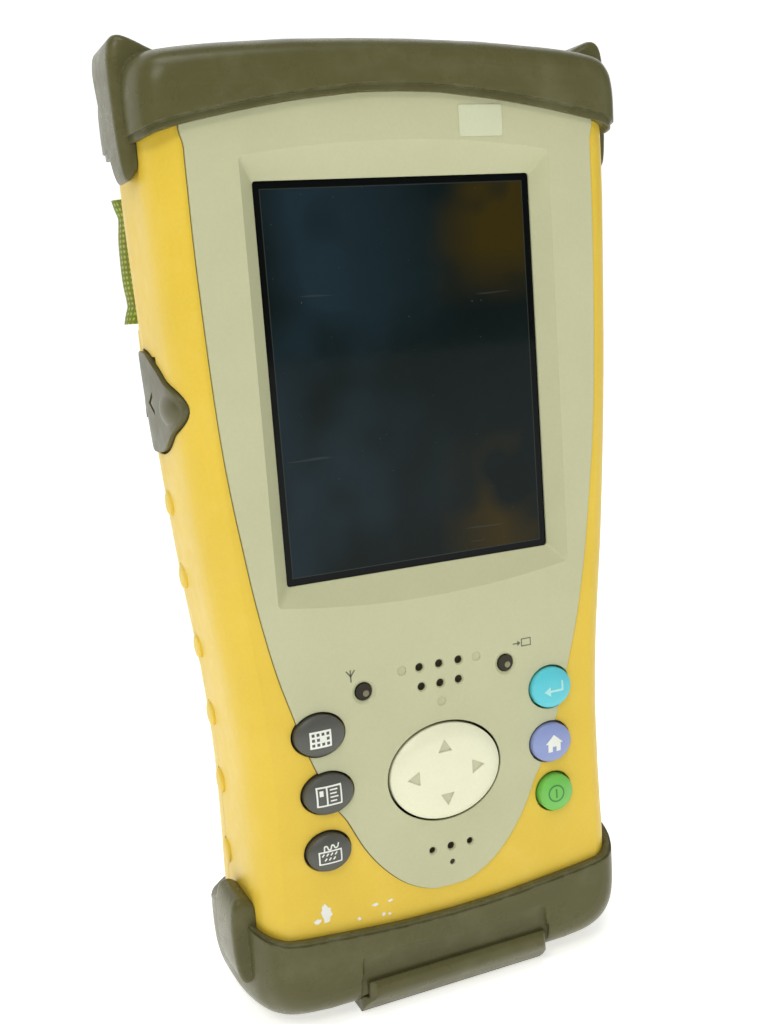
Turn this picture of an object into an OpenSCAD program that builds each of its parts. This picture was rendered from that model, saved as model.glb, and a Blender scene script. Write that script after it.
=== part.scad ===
// Rugged handheld data collector. Millimetres. X right, front faces -Y, Z up.
// The origin is the middle of the flat underside of the bottom bumper, on the case seam plane.

/* [Case] */
// overall height over the bumpers
height = 195; // [180:1:210]
// half-width of the case at its widest
half_w = 48.5; // [46:0.1:52]
// front face of the front shell, forward of the seam
front_y = 23; // [20:0.5:26]
// back face of the rear shell, behind the seam
rear_y = 21; // [18:0.5:24]
// wall thickness
wall = 2.5; // [2:0.1:3.5]

/* [Display] */
// visible window width
win_w = 58; // [54:0.5:60]
// visible window height
win_h = 76.4; // [72:0.5:80]
// window centre height
win_z = 130; // [125:0.5:135]

/* [Keys] */
// clear gap round each key cap
key_gap = 0.45; // [0.35:0.05:0.8]
// clear gap round the four-way pad
pad_gap = 0.6; // [0.6:0.05:1.2]
// width and height of the four-way pad
pad_w = 24.8; // [20:0.1:28]
pad_h = 20.2; // [18:0.1:24]

/* [Back] */
// webbing width
strap_w = 25; // [20:1:30]
// pole bracket screw spacing across and up
bracket_x = 28; // [24:1:36]
bracket_z = 16; // [12:1:20]

/* [Hidden] */
$fn = 48;

zc = 97;
hz = 96;
F = -front_y;
R = rear_y;
P = F - 0.5;          // front of the raised keypad panel
win_lo = win_z - win_h / 2;
win_hi = win_z + win_h / 2;

YELLOW = [0.92, 0.76, 0.22];
PANEL = [0.74, 0.76, 0.60];
RUBBER = [0.40, 0.39, 0.30];
DARK = [0.18, 0.18, 0.18];
STEEL = [0.72, 0.72, 0.74];
BRASS = [0.78, 0.62, 0.30];
PCB = [0.10, 0.35, 0.20];

// right half of the case outline, bottom to top: [x, z]
OUT = [[25, 2.6], [30.5, 3.3], [35, 5.2], [38.4, 8.4], [40.4, 12.5], [41.1, 18], [41.2, 24], [41, 32],
  [40.9, 42], [41, 54], [41.8, 68], [43, 80], [44.3, 92], [45.5, 106], [46.5, 120], [47.3, 134],
  [47.9, 150], [48.4, 164], [half_w, 174], [48.3, 180], [47.2, 185], [44, 188.2], [38, 189.9], [28, 191.3],
  [14, 192.7]];
// the top bumper has squarer shoulders than the case
OUT_T = [[25, 2.6], [30.5, 3.3], [35, 5.2], [38.4, 8.4], [40.4, 12.5], [41.1, 18], [41.2, 24], [41, 32],
  [40.9, 42], [41, 54], [41.8, 68], [43, 80], [44.3, 92], [45.5, 106], [46.5, 120], [47.3, 134],
  [48.1, 150], [48.8, 164], [49.2, 175], [49.4, 181], [49.2, 185.4], [48.1, 188.7], [45, 190.9], [36, 192.2],
  [20, 193.3]];
// the bottom bumper has squarer lower corners
OUT_B = concat([[28, 2.3], [34, 3], [38, 4.8], [40.4, 7.8], [41.4, 12], [41.6, 18], [41.5, 24], [41.2, 32]],
  [for (i = [8:len(OUT) - 1]) OUT[i]]);
// depth levels and how far the outline has drawn in there: [y, inset]
FRONT_L = [[F, 6.2], [F + 0.5, 4.7], [F + 1.7, 3], [F + 3.7, 1.5], [F + 6.5, 0.5], [-12, 0.1], [-0.25, 0]];
REAR_L = [[0.25, 0.1], [5, 0.7], [9, 1.7], [13, 3.3], [R - 4.5, 5.9], [R - 2, 9], [R - 0.5, 12.4], [R, 15.2]];
CORE_L = [[F - 0.08, 6.1], [F + 0.42, 4.6], [F + 1.62, 2.9], [F + 3.6, 1.4], [F + 6.4, 0.4], [-12, 0],
  [0, -0.08], [5, 0.6], [9, 1.6], [13.05, 3.2], [R - 4.4, 5.8], [R - 1.9, 8.9], [R - 0.4, 12.3],
  [R + 0.08, 15.1]];
TOP_L = [[F - 2, 5.2], [F - 1.75, 3.7], [F - 1, 2.3], [F + 0.4, 1.1], [F + 2.6, 0.2], [F + 6, -0.5], [-11, -1],
  [-3, -1.2], [5, -1], [9.5, -0.2], [14, 1.8], [R - 3.2, 4.6], [R - 0.4, 8], [R + 1.4, 12], [R + 2, 15.2]];
BUMP_L = [[F - 2, 7.2], [F - 1.5, 5], [F, 2.9], [F + 2.4, 1.2], [F + 5.6, -0.3], [-12, -1.4], [-5, -2], [5, -2],
  [9.5, -0.9], [14, 1.2], [R - 3, 4.4], [R - 0.2, 8], [R + 1.5, 12], [R + 2, 15.2]];
// raised keypad panel outline, bottom to top
PANEL_O = [[4.4, 24.2], [9.8, 26.8], [14.6, 31.3], [18.3, 36.5], [21.5, 43], [24.2, 47.5], [28.5, 58.5], [31, 67],
  [33.5, 76], [35.9, 88], [37.6, 99.5], [39.6, 116], [40.7, 132.5], [41.5, 154], [41.7, 170],
  [41.7, 174], [41.6, 179.2], [31, 181.3], [21, 182.7], [11, 183.7], [4, 184.1]];
// lower edge of the top bumper and upper edge of the bottom bumper
TOP_E = [[0, 183.3], [8, 183.1], [14, 182.5], [21, 181.7], [31, 180.1], [41, 178.1], [46, 176.9], [50, 175.7], [60, 175]];
BOT_E = [[0, 18.6], [12, 18.9], [25, 19.9], [34, 20.8], [39, 22], [42, 23.4], [43.4, 25], [46, 27], [60, 28]];
// name, x, z, width, height
KEYS = [[-26.2, 62.3, 10.4, 8.3], [-25.3, 50, 10.4, 8.2], [-26.2, 37.9, 9.2, 7.6],
  [26.1, 62, 9.4, 8.7], [25.5, 49.9, 9.4, 8.4], [26, 38.5, 8, 8]];
PAD = [0.5, 49];
NUBS = [108.3, 93, 78.1, 63.3, 48.4, 32.7];
SCREWS = [[36, 172], [35.8, 104], [32, 28]];
BAR = [43.4, 15.3];
DE9 = [0, -15.8];

function wx(z, i = 0) = z <= OUT[i + 1][1] || i >= len(OUT) - 2
  ? OUT[i][0] + (OUT[i + 1][0] - OUT[i][0]) * (z - OUT[i][1]) / (OUT[i + 1][1] - OUT[i][1])
  : wx(z, i + 1);
function ins(p, d) = [p[0] * (1 - d / 49), zc + (p[1] - zc) * (1 - d / hz)];
function both(a) = concat(a, [for (i = [len(a) - 1:-1:0]) [-a[i][0], a[i][1]]]);
function out(d, o = OUT) = both([for (p = o) ins(p, d)]);
function ring(y, d, o = OUT) = [for (p = out(d, o)) [p[0], y, p[1]]];
function oval(x, z, a, b, n = 32) = [for (i = [0:n - 1]) [x + a * cos(360 * i / n), z + b * sin(360 * i / n)]];
function at_y(pts, y) = [for (p = pts) [p[0], y, p[1]]];
function sgp(v, e) = v < 0 ? -pow(-v, e) : pow(v, e);

module loft(S, strips = false) {
  n = len(S[0]);
  m = len(S);
  h = n / 2;
  polyhedron(points = [for (r = S) for (p = r) p],
    faces = concat(
      [for (j = [0:m - 2]) for (i = [0:n - 1]) [j * n + i, j * n + (i + 1) % n, (j + 1) * n + (i + 1) % n]],
      [for (j = [0:m - 2]) for (i = [0:n - 1]) [j * n + i, (j + 1) * n + (i + 1) % n, (j + 1) * n + i]],
      strips ? [for (i = [0:h - 2]) [i, n - 1 - i, n - 2 - i, i + 1]] : [[for (i = [n - 1:-1:0]) i]],
      strips ? [for (i = [0:h - 2]) [for (k = [i, i + 1, n - 2 - i, n - 1 - i]) (m - 1) * n + k]]
             : [[for (i = [0:n - 1]) (m - 1) * n + i]]));
}
module body_loft(L, o = 0, shape = OUT) { loft([for (l = L) ring(l[0], l[1] - o, shape)], true); }
module slab(y0, y1, pts) { translate([0, y1, 0]) rotate([90, 0, 0]) linear_extrude(y1 - y0) polygon(pts); }
module side_slab(x0, x1, pts) {   // pts are [y, z]
  translate([x0, 0, 0]) rotate([90, 0, 90]) linear_extrude(x1 - x0) polygon(pts);
}
module bx(x0, x1, y0, y1, z0, z1) { translate([x0, y0, z0]) cube([x1 - x0, y1 - y0, z1 - z0]); }
module cyl_y(x, z, y0, y1, r) { translate([x, y1, z]) rotate([90, 0, 0]) cylinder(h = y1 - y0, r = r); }
module cyl_x(y, z, x0, x1, r) { translate([x0, y, z]) rotate([0, 90, 0]) cylinder(h = x1 - x0, r = r); }
module cyl_z(x, y, z0, z1, r) { translate([x, y, z0]) cylinder(h = z1 - z0, r = r); }
module cone_y(x, z, y0, y1, r0, r1) { translate([x, y1, z]) rotate([90, 0, 0]) cylinder(h = y1 - y0, r1 = r1, r2 = r0); }
module sides() { for (s = [0, 1]) mirror([s, 0, 0]) children(); }

// display bevel: outer edge on the panel, inner edge at the glass
function arch(z0, z1, w) = [for (i = [0:8]) let (x = w - i * w / 4) [x, z1 + (z0 - z1) * x * x / (w * w)]];
function bevel(w, lo_c, lo_m, hi_c, hi_m) = concat(
  [for (p = arch(lo_c, lo_m, w)) [-p[0], p[1]]], arch(hi_c, hi_m, w));
BEV_O = bevel(32.1, 88.5, 86, 172.5, 174.8);
BEV_I = bevel(win_w / 2, win_lo, win_lo, win_hi, win_hi);
BEV_B = bevel(33.4, 87.2, 84.7, 173.8, 176.1);
BEV_G = bevel(33.55, 87.05, 84.55, 173.95, 176.25);

module key_holes(g, pg) {
  for (k = KEYS) slab(F - 3, F + 4, oval(k[0], k[1], k[2] / 2 + g, k[3] / 2 + g, 40));
  slab(F - 3, F + 4, oval(PAD[0], PAD[1], pad_w / 2 + pg, pad_h / 2 + pg, 48));
}
module vents() {
  for (p = [[-3.6, 71.8, 0.85], [0.8, 71.8, 0.85], [5.2, 71.8, 0.85], [-3.4, 67.7, 0.85], [0.8, 67.7, 0.85],
    [5, 67.7, 0.85], [-3.5, 32.3, 0.7], [0.8, 32.3, 0.8], [5.2, 32.3, 0.7]])
    cyl_y(p[0], p[1], F - 3, F + 4, p[2]);
}
module port_gap() {   // room for the port door and its hinge
  bx(-21.8, 21.8, -40, -8.9, -5, 5.2);
  bx(-21.8, 21.8, -9, -6.1, -5, 2.6);
  cyl_x(-9, 2.6, -21.8, 21.8, 2.9);
}
COVER = concat([for (i = [-9:9]) [9 * cos(i * 10), 128.8 + 10 * sin(i * 10)]],
  [[-4, 138], [-8, 136.2], [-11.5, 134.6], [-14.5, 132.8], [-17.6, 131.4], [-19.5, 129.8], [-20.2, 128],
   [-19.5, 126.1], [-17.5, 124.5], [-15, 123.3], [-12.2, 121.6], [-9, 120.1], [-4.6, 119]]);
function grown(a, g) = [for (i = [0:len(a) - 1]) let (p = a[(i + len(a) - 1) % len(a)], q = a[(i + 1) % len(a)],
  dx = q[0] - p[0], dy = q[1] - p[1], l = sqrt(dx * dx + dy * dy)) [a[i][0] + g * dy / l, a[i][1] - g * dx / l]];
module cover_recess() {
  difference() {
    side_slab(-60, -38, grown(COVER, 0.45));
    body_loft(CORE_L, -1.9);
  }
  bx(-55, -43.9, 8, 11.4, 124.5, 133.5);
}

module front_shell() {
  color(YELLOW) difference() {
    union() {
      difference() {
        body_loft(FRONT_L);
        slab(-12, 1, out(3));
        slab(F + wall, -11, out(7));
      }
      bx(-25.5, 25.5, F + 2.8, -0.3, 5, 9);
      bx(-23, 23, F + 2.4, -9.5, 4.9, 15);
      sides() for (p = SCREWS) cyl_y(p[0], p[1], F + 2, -0.3, 4);
      bx(-44, -41.6, F + 12, -0.3, 117, 141);
      sides() for (z = NUBS) cyl_x(-0.7, z, wx(z) - 1.7, wx(z) + 0.6, 2.6);
    }
    slab(F - 1, F + 4, BEV_G);
    key_holes(key_gap, pad_gap);
    slab(F - 3, F + 4, [[-16.2, 36.4], [17.2, 36.4], [17.2, 62], [-16.2, 62]]);   // room under the skin for the tilting pad
    vents();
    sides() cyl_y(16, 69.1, F - 1, F + 4, 1.9);
    sides() for (p = SCREWS) cyl_y(p[0], p[1], F + 5, 1, 1.3);
    port_gap();
    bx(-17, 17, -21, -10.6, -1, 12);
    bx(-9.2, 9.2, -20.3, -11.3, 0, 20);
    sides() cyl_z(12.5, DE9[1], 0, 20, 1.75);
    cyl_x(-9, 2.6, -24.6, 24.6, 0.85);
    cover_recess();
    bx(-60, -40, -8.7, -3.7, 128.8, 137.6);
    cyl_x(-6.7, 122.9, -60, -40, 3.5);
  }
}
module rear_shell() {
  color(YELLOW) difference() {
    union() {
      difference() {
        body_loft(REAR_L);
        slab(-1, 8.5, out(3.7));
        slab(-1, 13, out(9.5));
        slab(-1, R - 2.6, out(12));
      }
      sides() for (p = SCREWS) cyl_y(p[0], p[1], 0.3, 14.5, 4.2);
      sides() {
        cyl_z(BAR[0], BAR[1], 138, 143, 2.3);
        cyl_z(BAR[0], BAR[1], 170, 175, 2.3);
        bx(37, BAR[0], 12, 16, 138, 143);
        bx(37, BAR[0], 12, 16, 170, 175);
      }
      for (sx = [-1, 1], sz = [-1, 1])
        cyl_y(sx * bracket_x / 2, 124 + sz * bracket_z / 2, 12, R - 1, 4.6);
      bx(-44, -41.6, 0.3, 11, 117, 141);
    }
    sides() for (z = NUBS) cyl_x(-0.7, z, wx(z) - 2.1, 60, 3.05);
    sides() for (p = SCREWS) { cyl_y(p[0], p[1], -1, 30, 1.7); cyl_y(p[0], p[1], 14, 30, 3.2); }
    sides() { cyl_z(BAR[0], BAR[1], 143, 170, 4.4); bx(BAR[0], 56, 10.9, 19.7, 143, 170); }
    sides() cyl_z(BAR[0], BAR[1], 139.5, 173.5, 1.3);
    bx(-27.9, 27.9, R - 1.5, 30, 32.1, 111.9);
    bx(-25.5, 25.5, 10, 30, 34.5, 109.5);
    for (sx = [-1, 1], sz = [-1, 1])
      cyl_y(sx * bracket_x / 2, 124 + sz * bracket_z / 2, 13, 30, 2.85);
    cover_recess();
  }
}
module case_gasket() {
  color(DARK) difference() {
    slab(-0.2, 0.2, out(0.5));
    slab(-1, 1, out(2.9));
    sides() for (z = NUBS) cyl_x(-0.7, z, wx(z) - 2.1, 60, 3.05);
    cover_recess();
  }
}
module front_panel() {
  color(PANEL) difference() {
    union() {
      slab(P, F, both(PANEL_O));
      slab(F - 0.1, F + 3, BEV_B);
    }
    loft([at_y([for (i = [0:17]) BEV_O[i] + (BEV_O[i] - BEV_I[i]) * 0.1], P - 0.35),
      at_y(BEV_I, F + 3), at_y(BEV_I, F + 4)], true);
    key_holes(key_gap, pad_gap);
    vents();
    for (p = [[-7.6, 71.8], [9.2, 71.8], [0.8, 63.9], [0.8, 28.8]]) cyl_y(p[0], p[1], P - 1, P + 0.35, 0.6);
    sides() { cyl_y(16, 69.1, F - 3, F + 4, 1.9); cone_y(16, 69.1, P - 0.1, F + 0.1, 2.7, 2); }
  }
}
module touch_panel() { color([0.05, 0.06, 0.07]) bx(-31, 31, F + 3.05, F + 4.2, 89.8, 170.2); }
module lcd_module() { color([0.1, 0.14, 0.16]) bx(-30, 30, F + 4.3, F + 7.8, 90.8, 169.2); }
module lcd_frame() {
  color(STEEL) difference() {
    bx(-32, 32, F + 4.3, F + 8.8, 88.8, 171.2);
    bx(-30.1, 30.1, F + 4, F + 7.9, 90.7, 169.3);
    bx(-24, 24, F + 4, F + 12, 98, 162);
  }
}
module blank_label() { color([0.82, 0.84, 0.72]) bx(12.5, 21.9, P - 0.25, P, 175, 180.9); }

// fins on the bumper corners, [x, z] seen from the front
FIN_T = [[44, 177], [48.3, 171.3], [49.6, 169.8], [50.5, 169.7], [51.1, 171.6], [51.5, 176], [51.8, 182], [51.9, 188],
  [51.8, 191.4], [51.2, 193.9], [49.9, height], [48.1, 194.8], [44.6, 193.2], [40.5, 190.8], [40, 186]];
FIN_B = [[40, 14], [42.4, 11], [43.9, 10.6], [44.9, 12.4], [45.5, 16], [45.7, 20.5], [45.6, 25], [44.9, 27.9],
  [43.6, 29], [41.4, 28.2], [39.5, 25]];
FIN_C = [[39.5, 11], [41.6, 8.4], [42.6, 8], [43.4, 9.4], [43.9, 12.4], [44, 15.8], [43.9, 19], [43.3, 21.1],
  [42.4, 21.8], [40.8, 21.2], [39.3, 18.8]];   // the right one is lower and flatter
function fin(o, c, z0, z1, y0, d0, d1) = [for (l = [[0, 1.6], [0.03, 0.6], [0.09, 0], [0.86, 0], [0.95, 0.6], [1, 1.9]])
  [for (p = o) [c[0] + (p[0] - c[0]) * (1 - l[1] / 6), y0 + l[0] * (d0 + (d1 - d0) * (p[1] - z0) / (z1 - z0)),
    c[1] + (p[1] - c[1]) * (1 - l[1] / 11)]]];
module top_bumper() {
  color(RUBBER) difference() {
    union() {
      intersection() {
        body_loft(TOP_L, 0, OUT_T);
        slab(-40, 40, concat([for (p = TOP_E) p], [[60, 210], [-60, 210]],
          [for (i = [len(TOP_E) - 1:-1:1]) [-TOP_E[i][0], TOP_E[i][1]]]));
      }
      sides() loft(fin(FIN_T, [46.5, 182.5], 169.6, 195, -15.2, 9.3, 19.3));
    }
    body_loft(CORE_L);
    slab(P - 0.12, F + 0.5, both([for (p = PANEL_O) [p[0] * 1.005, p[1] + 0.15]]));
  }
}
module bottom_bumper() {
  color(RUBBER) difference() {
    union() {
      difference() {
        intersection() {
          body_loft(BUMP_L, 0.9, OUT_B);
          slab(-40, 40, concat([for (i = [len(BOT_E) - 1:-1:1]) [-BOT_E[i][0], BOT_E[i][1]]],
            [for (p = BOT_E) p], [[60, 0], [-60, 0]]));
        }
        side_slab(-60, 60, [[-11, 26.4], [-3, 23], [7, 19.6], [16, 17.6], [23.5, 17], [30, 17], [30, 60], [-11, 60]]);
      }
      loft(fin(FIN_C, [42, 15], 8, 21.8, -17.2, 14.5, 13));
      mirror([1, 0, 0]) loft(fin(FIN_B, [43, 20], 10.6, 29, -17.2, 14.5, 13));
    }
    body_loft(CORE_L);
    port_gap();
    bx(-22, 22, -40, -24.05, -5, 9.6);
    cyl_x(-34.2, 9.6, -21.6, 21.6, 10.4);
    cyl_x(-9, 2.6, -24.6, 24.6, 0.85);
  }
}
module port_door() {
  color(RUBBER) difference() {
    union() {
      bx(-21.3, 21.3, -21.7, -9, 0.5, 4.7);
      cyl_x(-9, 2.6, -21.3, 21.3, 2.1);
      intersection() {
        side_slab(-21.5, 21.5, [[-21.6, 0.5], [-22.8, 1.6], [-24, 3], [-25.1, 4.4], [-25.8, 5.7], [-25.9, 6.9], [-25.6, 7.8],
          [-24.9, 8.3], [-24.4, 8.1], [-24.4, 4.7], [-21, 4.7], [-21, 0.5]]);
        linear_extrude(12) polygon([[-21.3, -20], [-21.3, -23], [-20.4, -24.4], [-18.4, -25.6], [-15, -26.3], [16, -26.3],
          [19.6, -25.8], [21, -24.8], [21.4, -23.4], [21.3, -20]]);
      }
    }
    cyl_x(-9, 2.6, -30, 30, 1.15);
    bx(-18.5, 18.5, -21, -12.6, 3, 8);
  }
}
module port_hinge_pin() { color(STEEL) cyl_x(-9, 2.6, -24.4, 24.4, 0.8); }
module side_port_cover() {
  color(RUBBER) difference() {
    union() {
      intersection() {
        body_loft(CORE_L, 0.8);
        side_slab(-60, -38, COVER);
      }
      bx(-46, -44.4, 7.4, 10, 125, 133);
      cyl_z(-45.2, 10, 125, 133, 1);
      translate([-45.5, -13.5, 127.8]) scale([0.73, 1.58, 1.03]) sphere(r = 4, $fn = 32);
    }
    body_loft(CORE_L, -1.5);
    bx(-43.9, -30, 6, 14, 120, 140);
    translate([-47.3, 0.4, 128.8]) rotate([90, 0, -90]) linear_extrude(4)
      polygon([[-2.6, 0], [1.6, 3.4], [1.6, 2.2], [-1.1, 0], [1.6, -2.2], [1.6, -3.4]]);
  }
}

module key(i, c) {
  k = KEYS[i];
  a = k[2] / 2;
  b = k[3] / 2;
  color(c) union() {
    loft([for (l = [[-25.3, 2.4], [-25.15, 1.2], [-24.8, 0.5], [-24.2, 0.1], [-20, 0]])
      at_y(oval(k[0], k[1], a - l[1], b - l[1], 32), l[0])]);
    slab(-20.2, -19.2, oval(k[0], k[1], a + 1, b + 1, 32));
  }
}
module key_grid() { key(0, [0.25, 0.25, 0.24]); }
module key_window() { key(1, [0.25, 0.25, 0.24]); }
module key_keyboard() { key(2, [0.25, 0.25, 0.24]); }
module key_enter() { key(3, [0.3, 0.78, 0.84]); }
module key_home() { key(4, [0.5, 0.55, 0.82]); }
module key_power() { key(5, [0.42, 0.78, 0.32]); }
module dpad_pivot() {
  color(STEEL) difference() {
    cyl_y(PAD[0], PAD[1], -19.3, -18.5, 4);
    cyl_y(PAD[0], PAD[1], -19.4, -18.4, 1.1);
  }
}
module dpad_cap() {
  color([0.86, 0.86, 0.70]) difference() {
    union() {
      loft([for (l = [[-25.2, 6], [-25.05, 3], [-24.6, 1.1], [-24, 0.3], [-23.2, 0], [-21, 0]])
        at_y(oval(PAD[0], PAD[1], pad_w / 2 - l[1], pad_h / 2 - l[1], 48), l[0])]);
      cyl_y(PAD[0], PAD[1], -21.1, -19.8, 1.7);
    }
    for (a = [0:90:270]) translate([PAD[0], -24.45, PAD[1]]) rotate([90, a, 0]) linear_extrude(3)
      polygon([[-1.9, 6.2], [1.9, 6.2], [0, 8.6]]);
  }
}
module keypad_membrane() {
  color([0.5, 0.5, 0.48]) difference() {
    bx(-33, 33, -17.9, -16.9, 33.2, 68.6);
    cyl_y(0.8, 69.8, -20, -15, 7.8);
    sides() cyl_y(16, 69.1, -20, -15, 2.8);
  }
}
module keypad_board() {
  color(PCB) difference() {
    bx(-33, 33, -16.8, -15.6, 24, 80);
    sides() cyl_y(SCREWS[2][0], SCREWS[2][1], -20, -12, 4.4);
  }
}
module speaker() {
  color(DARK) difference() {
    union() { cyl_y(0.8, 69.8, -19.8, -16.9, 7.2); cyl_y(0.8, 69.8, -20.4, -19.7, 6.4); }
    cyl_y(0.8, 69.8, -20.6, -20, 5.4);
  }
}
module microphone() { color(STEEL) cyl_y(0.8, 30.4, -19.6, -16.9, 2.4); }
module led_lenses() {
  color([0.1, 0.12, 0.1]) sides() union() { cyl_y(16, 69.1, -23.3, -19, 1.7); cyl_y(16, 69.1, -19.2, -16.9, 2.4); }
}
module inner_frame() {
  color([0.62, 0.62, 0.6]) difference() {
    union() {
      slab(-3, -1.4, both([[33, 22], [37, 32], [37, 60], [39.2, 90], [41.4, 112], [41.4, 116], [40.8, 117],
        [40.8, 141], [42.8, 142], [43, 166], [40.5, 176], [36, 182]]));
      sides() for (z = [34, 100, 160]) cyl_y(26, z, -10.3, -2.9, 2.5);
    }
    sides() for (p = SCREWS) cyl_y(p[0], p[1], -20, 20, 4.4);
    for (z = [36, 144]) bx(-18, 18, -4, 0, z, z + 36);
    sides() for (z = [34, 100, 160]) cyl_y(26, z, -12, -6, 0.9);
  }
}
module main_board() {
  color(PCB) difference() {
    slab(-12, -10.4, both([[29, 22], [34.3, 32], [34.3, 60], [36.6, 90], [38.4, 112], [40, 150], [40.5, 166], [38, 176], [33, 181.5]]));
    sides() for (p = SCREWS) cyl_y(p[0], p[1], -20, 0, 4.4);
    sides() for (z = [34, 100, 160]) cyl_y(26, z, -20, 0, 1.2);
  }
}
module board_screws() {
  color(STEEL) sides() for (z = [34, 100, 160]) union() {
    cyl_y(26, z, -13.2, -12, 1.9);
    cyl_y(26, z, -12.1, -7, 0.85);
  }
}
module radio_shield() { color(STEEL) bx(-14, 14, -10.4, -7.4, 118, 142); }
module backup_cell() { color(STEEL) cyl_y(-28, 78, -10.4, -7.2, 8); }
module card_slot() {
  color(STEEL) difference() {
    bx(-14, 12, -10.4, -6.8, 146, 174);
    bx(-13, 11, -9.8, -7.4, 147, 180);
  }
}
module memory_card() { color([0.1, 0.15, 0.4]) bx(-12.7, 10.7, -9.6, -7.6, 147.3, 178); }
module antenna() {
  color(BRASS) union() { bx(-28, -4, -8.4, -7.6, 178, 184); bx(-24, -20, -10.4, -8.2, 178, 181); }
}
module serial_port() {
  color(STEEL) difference() {
    union() {
      bx(-15.4, 15.4, -20.4, -9.6, 15.05, 16.2);
      bx(-8.4, 8.4, -19.9, -11.7, 9.6, 15.2);
      bx(-9.5, 9.5, -20.2, -11.4, 16.1, 21.5);
    }
    difference() {
      bx(-7.9, 7.9, -19.4, -12.2, 6, 14.4);
      for (i = [0:4]) cyl_z(-5.54 + 2.77 * i, -14.4, 10.2, 15, 0.5);
      for (i = [0:3]) cyl_z(-4.16 + 2.77 * i, -17.2, 10.2, 15, 0.5);
    }
    sides() cyl_z(12.5, DE9[1], 10, 20, 1.55);
  }
}
module serial_jackscrews() {
  color(STEEL) sides() difference() {
    union() {
      cyl_z(12.5, DE9[1], 7, 12, 2.6);
      cyl_z(12.5, DE9[1], 11.9, 19, 1.5);
    }
    cyl_z(12.5, DE9[1], 6, 12, 1.42);
  }
}
module usb_port() {
  color(STEEL) difference() {
    bx(-45.2, -36.2, -8.3, -4.1, 129.2, 137.2);
    difference() {
      bx(-46, -39.2, -7.8, -4.6, 129.8, 136.6);
      bx(-44.6, -39, -6.6, -5.9, 130.8, 135.6);
    }
  }
}
module dc_jack() {
  color(DARK) union() {
    difference() {
      union() { cyl_x(-6.7, 122.9, -44.6, -34.6, 3.3); bx(-41.2, -34.6, -10.3, -4, 119.5, 126.3); }
      cyl_x(-6.7, 122.9, -47, -37, 2.75);
    }
    cyl_x(-6.7, 122.9, -43.8, -36.5, 1);
  }
}
module battery_pack() { color([0.2, 0.22, 0.26]) bx(-23, 23, 0.6, 16.6, 38.5, 97); }
module battery_contacts() {
  color(BRASS) for (x = [-9, -3, 3, 9]) union() {
    bx(x - 1, x + 1, 4, 9, 97.4, 98.4);
    bx(x - 1, x + 1, 4, 5, 98.2, 102);
    bx(x - 1, x + 1, -1.4, 5, 101, 102);
  }
}
module battery_door() {
  color(YELLOW) difference() {
    bx(-27.5, 27.5, R - 1.45, R + 1, 32.5, 111.5);
    sides() { cyl_y(21, 105.6, 10, 30, 2.4); cyl_y(21, 105.6, R - 0.3, 30, 4.5); }
    for (i = [0:5]) bx(-18, 18, R + 0.4, R + 2, 44 + i * 7, 46.4 + i * 7);
  }
}
module battery_screw() {
  color(STEEL) difference() {
    union() {
      cyl_y(21, 105.6, R, R + 1.6, 4.1);
      cyl_y(21, 105.6, R - 3.9, R + 0.1, 2);
      cyl_y(21, 105.6, R - 4, R - 2.9, 2.6);
      bx(19.6, 22.4, R - 4, R - 2.9, 105.6, 111.2);
    }
    bx(17.6, 24.4, R + 0.7, R + 3, 105, 106.2);
  }
}
module battery_screw_left() { mirror([1, 0, 0]) battery_screw(); }
module battery_screw_right() { battery_screw(); }
module case_screws() {
  color(STEEL) sides() for (p = SCREWS) difference() {
    union() { cyl_y(p[0], p[1], 14.5, 16.8, 2.8); cyl_y(p[0], p[1], F + 7, 14.6, 1.25); }
    cyl_y(p[0], p[1], 15.6, 18, 1.3);
  }
}
module bracket_inserts() {
  color(BRASS) for (sx = [-1, 1], sz = [-1, 1]) difference() {
    cyl_y(sx * bracket_x / 2, 124 + sz * bracket_z / 2, 14, R, 2.8);
    cyl_y(sx * bracket_x / 2, 124 + sz * bracket_z / 2, 15, R + 2, 1.65);
  }
}
module strap_bars() { color(STEEL) sides() cyl_z(BAR[0], BAR[1], 139.7, 173.3, 1.25); }

// webbing centre line: round each bar and across the back, [x, y]
function lp(r) = [for (i = [0:14]) let (t = 105 - i * 21) [BAR[0] + r * cos(t), BAR[1] + r * sin(t)]];
SPAN = [[41.1, 21], [38.4, 22.8], [34, 25.4], [28.5, 27.7], [21.5, 29.6], [12, 31], [0, 31.4]];
function span(o) = [for (p = SPAN) [p[0], p[1] + o]];
function flip(a) = [for (i = [len(a) - 1:-1:0]) [-a[i][0], a[i][1]]];
module hand_strap() {
  color([0.66, 0.72, 0.22]) translate([0, 0, 156.5 - strap_w / 2]) linear_extrude(strap_w) union() {
    difference() {
      union() {
        polygon(concat([[43.4, 18.9]], span(1), flip(span(1)), [[-43.4, 18.9]],
          [[-42.7, 17.2]], [for (i = [0:6]) [-span(-1)[i][0], span(-1)[i][1]]],
          [for (i = [5:-1:0]) span(-1)[i]], [[42.7, 17.2]]));
        for (s = [-1, 1]) translate([s * BAR[0], BAR[1]]) circle(r = 3.6);
      }
      for (s = [-1, 1]) translate([s * BAR[0], BAR[1]]) circle(r = 1.45);
    }
  }
}

front_shell();
rear_shell();
case_gasket();
front_panel();
touch_panel();
lcd_module();
lcd_frame();
blank_label();
top_bumper();
bottom_bumper();
port_door();
port_hinge_pin();
side_port_cover();
key_grid();
key_window();
key_keyboard();
key_enter();
key_home();
key_power();
dpad_pivot();
dpad_cap();
keypad_membrane();
keypad_board();
speaker();
microphone();
led_lenses();
inner_frame();
main_board();
board_screws();
radio_shield();
backup_cell();
card_slot();
memory_card();
antenna();
serial_port();
serial_jackscrews();
usb_port();
dc_jack();
battery_pack();
battery_contacts();
battery_door();
battery_screw_left();
battery_screw_right();
case_screws();
bracket_inserts();
strap_bars();
hand_strap();
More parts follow.
